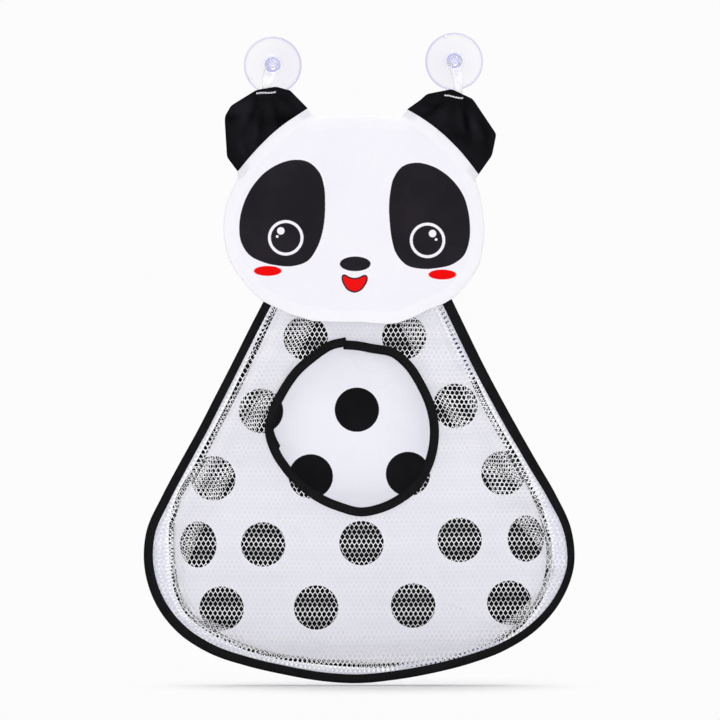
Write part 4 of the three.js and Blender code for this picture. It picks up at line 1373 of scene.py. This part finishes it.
def tape_section(layer):
    """Points [share of the width, depth] of a folded tape, from its folded back to its open edge."""
    inner = layer / 2 + TAPE_CLEARANCE
    outer = layer / 2 + SEAM_GAP + TAPE
    turn = np.radians(np.arange(-75, 76, 15))
    back = np.column_stack([outer * 0.13 * (1 - np.cos(turn)), np.sin(turn) * outer * 0.98])
    leg = np.array([(0.35, 1.04), (0.6, 1.06), (0.85, 1.0), (0.97, 0.86), (1, 0.7)]) * (1, outer)
    hollow = np.array([(0.98, inner), (0.14, inner), (0.14, -inner), (0.98, -inner)])
    return np.vstack([back, leg, hollow, (leg * (1, -1))[::-1]])


def lay_tape(name, outline, section, place, start, width, lift=0.0):
    """Sweeps the section along a flat outline. It starts `start` mm inside it and is `width` mm wide."""
    count = len(outline)
    start, width, lift = (np.broadcast_to(value, count) for value in (start, width, lift))
    ways = inwards(outline)
    rings = []
    for share, depth in section:
        line = outline + ways * (start + width * share)[:, None]
        rings.append(place(np.column_stack([line[:, 0], depth - lift, line[:, 1]])))
    piece = sweep(name, np.stack(rings, axis=1), black_tape)
    run = run_along(outline)
    across = np.abs(width)[:, None] * section[:, 0]
    note(piece, along=np.repeat(run, len(section)) * MM, across=across.ravel() * MM)
    print(f"{name}: {run[-1]:.0f} mm of tape")
    return piece


def along_wall(points):
    x, depth, z = points.T
    return np.column_stack([x, back_plane(z) + depth, z])


POUCH_TAPE_WIDTHS = [6.7, 6.6, 6.8, 6.9, 7.2, 7.5, 7.1, 6.9, 6.9, 6.9, 6.3, 5.5, 6.8, 7.7, 8.0, 8.1]
shares = np.linspace(0, 1, len(POUCH_TAPE_WIDTHS))
pouch_tape_width = np.interp(np.linspace(0, 1, len(pouch_outline)), shares, POUCH_TAPE_WIDTHS)
REAR_TAPE_WIDTH = 4.4
NET_LAYER, CLOTH_LAYER = 1.0, 0.8
front_tape = lay_tape("front_edge_tape", pouch_outline, tape_section(NET_LAYER), lean,
                      0.0, pouch_tape_width)
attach(front_tape, "pouch_front")
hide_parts("front_edge_binding")
rear_tape = lay_tape("rear_edge_tape", back_outline, tape_section(CLOTH_LAYER), along_wall,
                     0.0, REAR_TAPE_WIDTH)
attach(rear_tape, "bag")
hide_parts("rear_edge_binding")

# %% Tape round the mouth
MOUTH_TAPE_WIDTH = 7.1
LAP_START, LAP_END = (-14.0, -212.8), (-15.2, -215.1)
LAP_OVER, LAP_UNDER, LAP_STEPS = 0.95, 0.7, 3.5
CROOKED_RUN, CROOKED_STEP = (-286.0, -301.5), 1.9
mouth_path = smooth_line(np.vstack([[LAP_START], mouth_points[1:-1], [LAP_END]]), 220)
steps = np.arange(len(mouth_path))
lap_lift = LAP_OVER * np.exp(-steps / LAP_STEPS) - LAP_UNDER * np.exp((steps - steps[-1]) / LAP_STEPS)
x, z = mouth_path.T
down = (CROOKED_RUN[0] - z) / (CROOKED_RUN[0] - CROOKED_RUN[1])
crooked = CROOKED_STEP * down * ((down > 0) & (down < 1) & (x < -60))
mouth_tape = lay_tape("mouth_tape", mouth_path, tape_section(NET_LAYER), lean, MOUTH_TAPE_WIDTH + crooked,
                      -MOUTH_TAPE_WIDTH - crooked, lap_lift)
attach(mouth_tape, "pouch_front")
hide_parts("mouth_binding")

# %% Stitches
STITCH_LENGTH, STITCH_GAP, STITCH_RADIUS = 2.4, 0.8, 0.16
STITCH_STEPS, STITCH_SIDES = 5, 6


def stitch_row(name, line, normals):
    """Short threads along a line of places: each rises out of the tape and dives back in."""
    run = run_along(line)
    starts = np.arange(1.0, run[-1] - STITCH_LENGTH, STITCH_LENGTH + STITCH_GAP)
    share = np.linspace(0, 1, STITCH_STEPS)
    at = (starts[:, None] + share * STITCH_LENGTH).ravel()
    spine = np.column_stack([np.interp(at, run, column) for column in line.T])
    up = np.column_stack([np.interp(at, run, column) for column in normals.T])
    arch = STITCH_RADIUS * (np.sin(share * math.pi) * 1.5 - 0.9)
    spine = spine + up * np.tile(arch, len(starts))[:, None]
    spine, up = (rows.reshape(len(starts), STITCH_STEPS, 1, 3) for rows in (spine, up))
    side = unit(np.cross(np.gradient(spine, axis=1), up))
    turns = np.linspace(0, 2 * math.pi, STITCH_SIDES, endpoint=False)[:, None]
    rings = spine + side * np.cos(turns) * STITCH_RADIUS + up * np.sin(turns) * STITCH_RADIUS
    size = STITCH_STEPS * STITCH_SIDES
    faces = []
    for first in range(0, len(starts) * size, size):
        faces += tube_faces(STITCH_STEPS, STITCH_SIDES, first)
    piece = make_piece(name, rings.reshape(-1, 3), faces, black_thread)
    face_outwards(piece)
    print(f"{name}: {len(starts)} stitches")
    return piece


def thread_finish(name, colour, shade, specular):
    material, tree, shader = new_material(name, Roughness=0.6, Specular_IOR_Level=specular)
    point = object_point(tree)
    twist = use_group(tree, twisted_thread, Point=point, Pitch=0.0003)["Height"]
    tinted = toned(tree, point, colour, shade, 0.004, maths(tree, "SUBTRACT", twist, 0.4))
    tree.links.new(tinted, shader.inputs["Base Color"])
    raise_surface(tree, shader, twist, 0.6, 0.00008)
    return material


THREAD_BLACK, THREAD_BLACK_SHADE = (0.007, 0.007, 0.0085, 1), (0.003, 0.003, 0.004, 1)
THREAD_WHITE, THREAD_WHITE_SHADE = (0.90, 0.90, 0.93, 1), (0.74, 0.74, 0.82, 1)
black_thread = thread_finish("black_thread_finish", THREAD_BLACK, THREAD_BLACK_SHADE, 0.15)
white_thread = thread_finish("white_thread_finish", THREAD_WHITE, THREAD_WHITE_SHADE, 0.3)


def tape_stitches(name, outline, across, layer, place, body):
    line = inset(outline, across)
    for face_way, side in ((-1, "front"), (1, "rear")):
        depth = face_way * (layer / 2 + SEAM_GAP + TAPE)
        flat = np.column_stack([line[:, 0], np.full(len(line), depth), line[:, 1]])
        lifted = place(flat + (0, face_way, 0))
        flat = place(flat)
        row = stitch_row(f"{name}_stitches_{side}", flat, lifted - flat)
        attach(row, body)


FROM_OPEN_EDGE, FROM_REAR_EDGE = 1.3, 1.0
tape_stitches("front_edge", pouch_outline, pouch_tape_width[:, None] - FROM_OPEN_EDGE, NET_LAYER, lean,
              "pouch_front")
tape_stitches("rear_edge", back_outline, REAR_TAPE_WIDTH - FROM_REAR_EDGE, CLOTH_LAYER, along_wall, "bag")
tape_stitches("mouth", mouth_path[8:-8], FROM_OPEN_EDGE, NET_LAYER, lean, "pouch_front")

# %% [markdown]
# ## The suction cups
# Each cup is cast in clear soft vinyl: a thin dish with a rounded lip, a solid shoulder with a collar,
# and a neck with a round knob that the strap hooks behind. It is turned on a lathe in code. Clear
# vinyl on a white ground shows only its edges and its faint violet tint, deepest where it is thick. On
# top of that tint, one side of each disc is painted darker and the upper side of each knob a deeper
# violet: painted shade.

# %% Clear vinyl
VINYL_CLEAR = (0.99, 0.988, 0.996, 1)
VINYL_CLOUD = (0.968, 0.97, 0.987, 1)
VINYL_LAVENDER = (0.78, 0.76, 0.885, 1)
VINYL_DEEP = (0.42, 0.44, 0.86, 1)


def vinyl_finish():
    material, tree, shader = new_material("clear_vinyl_finish", Roughness=0.03, Transmission_Weight=1.0,
                                          IOR=1.16, Specular_IOR_Level=0.5)
    # The stored tint holds the vinyl's own tint by thickness and the painted shade on the discs and knobs.
    tint = attribute(tree, "tint")
    cloud = rescale(tree, noise(tree, object_point(tree), 45.0, 2.0), 0.3, 0.65)
    clear = blend_colours(tree, cloud, VINYL_CLEAR, VINYL_CLOUD)
    thin = maths(tree, "MULTIPLY", tint, 2.0, clamp=True)
    thick = maths(tree, "MULTIPLY_ADD", tint, 2.0, -1.0, clamp=True)
    lavender = blend_colours(tree, thin, clear, VINYL_LAVENDER)
    tree.links.new(blend_colours(tree, thick, lavender, VINYL_DEEP), shader.inputs["Base Color"])
    tree.links.new(rescale(tree, cloud, 0, 1, 0.02, 0.06), shader.inputs["Roughness"])
    return material


clear_vinyl = vinyl_finish()
print("finish:", clear_vinyl.name)

# %% Turn the cups
CUP_PROFILE = [
    (0, 6, 0.75), (2.6, 6, 0.75), (3.4, 6, 0.1), (5.5, 6, 0.06), (10, 4.9, 0.06), (15, 2.7, 0.05),
    (19, 1.0, 0.06), (20.7, 0.1, 0.2), (21.1, 0, 0.5), (22.2, 0.0, 0.55), (22.5, 0.5, 0.6),
    (22.3, 1.05, 0.55), (21.2, 1.4, 0.48), (20.7, 1.7, 0.15), (19, 2.6, 0.05), (16.2, 4.1, 0.06),
    (12, 6.2, 0.1), (9, 7.7, 0.14), (8.2, 8.8, 0.3), (7.9, 10.5, 0.35), (7.5, 12.1, 0.4),
    (6.8, 12.4, 0.2), (6.1, 12.45, 0.75), (4.4, 12.5, 0.8), (3.0, 12.9, 0.8), (2.7, 14.0, 0.7),
    (2.7, 17.6, 0.6), (3.0, 18.7, 0.35), (4.4, 19.0, 0.12), (5.5, 19.1, 0.15), (6.0, 19.7, 0.45),
    (6.0, 21.3, 0.45), (5.5, 22.3, 0.25), (4.5, 22.9, 0.1), (3.0, 23.3, 0.08), (1.5, 23.53, 0.08),
    (0, 23.6, 0.08),
]
MARK_REACH, MARK_DEPTH, MARK_TINT = 20.2, -2.05, 0.35
DISC_BACK, KNOB_BACK = -12.3, -19.2
DISC_SHADE, KNOB_SHADE = 0.11, 0.45
CUP_SEGMENTS, MARK_TURNS, MARK_SIDES = 96, 24, 8
# Each cup: centre, the way to its mould mark, and the ways along which its knob and its disc are painted
# shaded.
CUPS = {"left": ((-70.5, -1.5), (-0.87, -0.5), (-0.8, 0.6), (1, -0.1)),
        "right": ((70.5, 1.5), (-0.34, 0.94), (0, 1), (-0.8, -0.6))}


def turn_profile(profile, segments):
    """A body of revolution about Y. The first and last points lie on the axis."""
    turns = np.linspace(0, 2 * math.pi, segments, endpoint=False)
    around = np.column_stack([np.cos(turns), np.sin(turns)])
    points = [(0, -profile[0][1], 0)]
    for radius, depth in profile[1:-1]:
        points += [(radius * x, -depth, radius * z) for x, z in around]
    points.append((0, -profile[-1][1], 0))
    faces = []
    rings = len(profile) - 2
    for j in range(segments):
        m = (j + 1) % segments
        faces.append([0, 1 + m, 1 + j])
        for i in range(rings - 1):
            low, high = 1 + i * segments, 1 + (i + 1) * segments
            faces.append([low + j, low + m, high + m, high + j])
        faces.append([1 + (rings - 1) * segments + j, 1 + (rings - 1) * segments + m, len(points) - 1])
    return np.array(points, float), faces


def mould_mark(place, radius=1.25, tube=0.28):
    """A small raised ring near the rim, left by the mould."""
    turns = np.linspace(0, 2 * math.pi, MARK_TURNS, endpoint=False)
    small = np.linspace(0, 2 * math.pi, MARK_SIDES, endpoint=False)
    points = [(place[0] + math.cos(t) * (radius + tube * math.cos(s)), place[1] + tube * math.sin(s),
               place[2] + math.sin(t) * (radius + tube * math.cos(s))) for t in turns for s in small]
    faces = []
    for i in range(MARK_TURNS):
        low, high = i * MARK_SIDES, (i + 1) % MARK_TURNS * MARK_SIDES
        for j in range(MARK_SIDES):
            m = (j + 1) % MARK_SIDES
            faces.append([low + j, low + m, high + m, high + j])
    return np.array(points), faces


profile = np.clip(smooth_line(CUP_PROFILE, 110), 0, None)
for side, ((x, z), mark_way, knob_shade_way, disc_shade_way) in CUPS.items():
    points, faces = turn_profile(profile[:, :2], CUP_SEGMENTS)
    tint = np.concatenate([[profile[0, 2]], np.repeat(profile[1:-1, 2], CUP_SEGMENTS), [profile[-1, 2]]])
    ring, ring_faces = mould_mark((mark_way[0] * MARK_REACH, MARK_DEPTH, mark_way[1] * MARK_REACH))
    faces += [[i + len(points) for i in face] for face in ring_faces]
    points = np.vstack([points, ring]) + (x, 0, z)
    cup = make_piece(f"{side}_cup_vinyl", points, faces, clear_vinyl)
    tint = np.concatenate([tint, np.full(len(ring), MARK_TINT)])
    flat = points[:, [0, 2]] - (x, z)
    # Painted shade: one side of the disc is painted darker, and one side of the knob a deeper violet.
    disc_painted_shade = DISC_SHADE * smooth_step(flat @ disc_shade_way, -12, 14) * (points[:, 1] > DISC_BACK)
    knob_painted_shade = KNOB_SHADE * smooth_step(flat @ knob_shade_way, 0, 4) * (points[:, 1] < KNOB_BACK)
    note(cup, tint=np.clip(tint + (disc_painted_shade + knob_painted_shade), 0, 1))
    face_outwards(cup)
    assign(cup, f"{side}_cup", f"{side}_suction_cup")
    print(f"{side} cup: {len(faces)} faces")

# %% [markdown]
# ## The straps
# A loop of white ribbon goes round the neck of each cup, behind the knob. It stands on edge there and
# turns flat on its way down, and both ends are tacked behind the ear.

# %% White ribbon
RIBBON_WHITE = (0.985, 0.985, 0.99, 1)
RIBBON_SHADE = (0.93, 0.93, 0.965, 1)


def ribbon_finish():
    material, tree, shader = new_material("white_ribbon_finish", Roughness=0.5, Specular_IOR_Level=0.35,
                                          Sheen_Weight=0.1)
    point = place_on_strip(tree)
    weave = use_group(tree, plain_weave, Point=point, Pitch=0.0003, Slub=0.6)
    slubs = maths(tree, "SUBTRACT", weave["Slubs"], 0.5)
    colour = toned(tree, point, RIBBON_WHITE, RIBBON_SHADE, 0.006, slubs)
    tree.links.new(colour, shader.inputs["Base Color"])
    raise_surface(tree, shader, weave["Height"], 0.4, 0.00008)
    return material


white_ribbon = ribbon_finish()
print("finish:", white_ribbon.name)

# %% Loop the ribbons
LOOP_RADIUS, LOOP_DEPTH, LOOP_WIDTH = 3.3, -15.7, 4.2
RIBBON = 0.4
STRANDS = {
    "left": {
        "up": [(-4.9, -13.5, -26.6, 1, 6), (-5.5, -13.5, -18, 1, 5.4), (-5.6, -13.7, -10, 0.9, 4.6),
               (-5.6, -14.9, -4.6, 0.36, 4.2), (-4.5, -15.6, -1.8, 0.14, 4.2)],
        "down": [(3.25, -15.65, -1.8, 0.14, 4.2), (2.6, -15.5, -4.4, 0.33, 4.2),
                 (0.6, -15.2, -8.4, 0.72, 4.2), (-2.5, -14.9, -12.6, 0.95, 4.6),
                 (-4.3, -14.7, -17.5, 1, 5.2), (-3.4, -14.6, -26.6, 1, 6)],
    },
    "right": {
        "up": [(2.7, -14.6, -32.7, 1, 6), (2.5, -14.6, -21, 1, 5.4), (1.5, -14.8, -16.5, 0.85, 4.6),
               (-0.4, -15.0, -11.8, 0.58, 4.2), (-1.9, -15.2, -7.3, 0.5, 4.2),
               (-3.1, -15.6, -2.6, 0.3, 4.2)],
        "down": [(4.1, -15.5, -2.2, 0.22, 4.2), (3.95, -14.5, -7.3, 0.5, 4.2), (3.9, -13.8, -13, 0.8, 4.6),
                 (3.6, -13.5, -21, 1, 5.4), (3.5, -13.5, -32.7, 1, 6)],
    },
}


def ribbon_path(up, down):
    """Rows of x, depth, z, quarter turns to the front and width, from one tail to the other."""
    arc = [(LOOP_RADIUS * math.cos(angle), LOOP_DEPTH, LOOP_RADIUS * math.sin(angle), 0, LOOP_WIDTH)
           for angle in np.linspace(math.pi, 0, 7)]
    return smooth_line(up + arc + down, 120)


def make_ribbon(name, rows, origin):
    centres = rows[:, :3] + (origin[0], 0, origin[1])
    turn = rows[:, 3] * math.pi / 2
    across = np.column_stack([-np.sin(turn), np.cos(turn), np.zeros(len(rows))])
    widths = rows[:, 4:]
    forward = unit(np.gradient(centres, axis=0))
    across = unit(across - forward * np.sum(across * forward, axis=1, keepdims=True))
    through = np.cross(forward, across)
    shares = [-1, -0.9, -0.45, 0, 0.45, 0.9, 1]
    bow = [0.0, 0.06, 0.16, 0.2, 0.16, 0.06, 0.0]
    upper = [(share, rise + RIBBON / 2) for share, rise in zip(shares[1:-1], bow[1:-1])]
    lower = [(share, rise - RIBBON / 2) for share, rise in zip(shares[1:-1], bow[1:-1])][::-1]
    section = [(-1, 0), *upper, (1, 0), *lower]
    rings = np.stack([centres + across * widths / 2 * u + through * v for u, v in section], axis=1)
    piece = sweep(name, rings, white_ribbon)
    run = run_along(centres)
    note(piece, along=np.repeat(run, len(section)) * MM,
         across=(np.array([u for u, _ in section])[None] * widths / 2).ravel() * MM)
    print(f"{name}: {run[-1]:.0f} mm of ribbon")
    return piece


for side, strands in STRANDS.items():
    ribbon = make_ribbon(f"{side}_ribbon_loop", ribbon_path(**strands), CUPS[side][0])
    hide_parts(f"{side}_strap")
    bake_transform(ribbon)

# %% [markdown]
# ## The bartacks
# A bartack is a dense zigzag of thread that nails the strap to the ear. The needle goes through every
# layer, so the same zigzag shows on the strap behind the ear.

# %% Sew the bartacks
TACKS = {"left": ((-75.5, -23.1), 4, 15.2), "right": ((70.1, -26.2), -9, 14.6)}
TACK_FACES = {"front": (-17.35, 0.0), "rear": (-12.9, 2.0)}
TACK_TURNS, TACK_HALF, TACK_UNEVEN, TACK_WANDER = 34, 0.52, 0.18, 0.25
THREAD_RADIUS, THREAD_SIDES = 0.24, 7


def tack_path(centre, tilt, length, depth, phase):
    """A zigzag line of thread, a little uneven as sewn by machine through slippery satin."""
    steps = np.arange(TACK_TURNS)
    along = (steps / (TACK_TURNS - 1) - 0.5) * length
    zigzag = np.where(steps % 2, 1, -1) * (TACK_HALF + TACK_UNEVEN * np.sin(steps * 1.3 + phase))
    zigzag += TACK_WANDER * np.sin(steps / 5.0 + phase)
    cos, sin = math.cos(math.radians(tilt)), math.sin(math.radians(tilt))
    x = centre[0] + along * cos - zigzag * sin
    z = centre[1] + along * sin + zigzag * cos
    return np.column_stack([x, np.full(TACK_TURNS, depth), z])


def thread_tube(line):
    line = smooth_line(line, len(line) * 5)
    up = np.array([0.0, 1.0, 0.0])
    side = unit(np.cross(unit(np.gradient(line, axis=0)), up))
    turns = np.linspace(0, 2 * math.pi, THREAD_SIDES, endpoint=False)
    ways = [side * math.cos(turn) + up * math.sin(turn) for turn in turns]
    return np.stack([line + way * THREAD_RADIUS for way in ways], axis=1)


for side, (centre, tilt, length) in TACKS.items():
    for end, (depth, phase) in TACK_FACES.items():
        tube = thread_tube(tack_path(centre, tilt, length, depth, phase))
        tack = sweep(f"{side}_bartack_{end}", tube, white_thread)
        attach(tack, "bag")
        if end == "front":
            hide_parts(f"{side}_strap_bartack")
print("bartacks sewn")

# %% [markdown]
# ## The ear layers
# The last cell looks up the four ear layers by name and does nothing more with them. Those two shares
# are chosen, not measured: they keep the area just above the least that the frame takes, 0.3 of width
# times length. Seen flat, the thread of the front net really covers about 0.21 of its cut. The
# threads' rear ridges are fitted too: they are deep enough for the surface to reach 0.7 of that area,
# so these two nets' pass says nothing about their size. The threads' rear ridges are fitted too: they
# are deeper than a real thread's, which makes the surface of both nets larger than their threads would
# give.


for side, outline in ear_outlines.items():
    for layer in ("front", "back"):
        piece = bpy.data.objects[f"{side}_ear_satin_{layer}"]
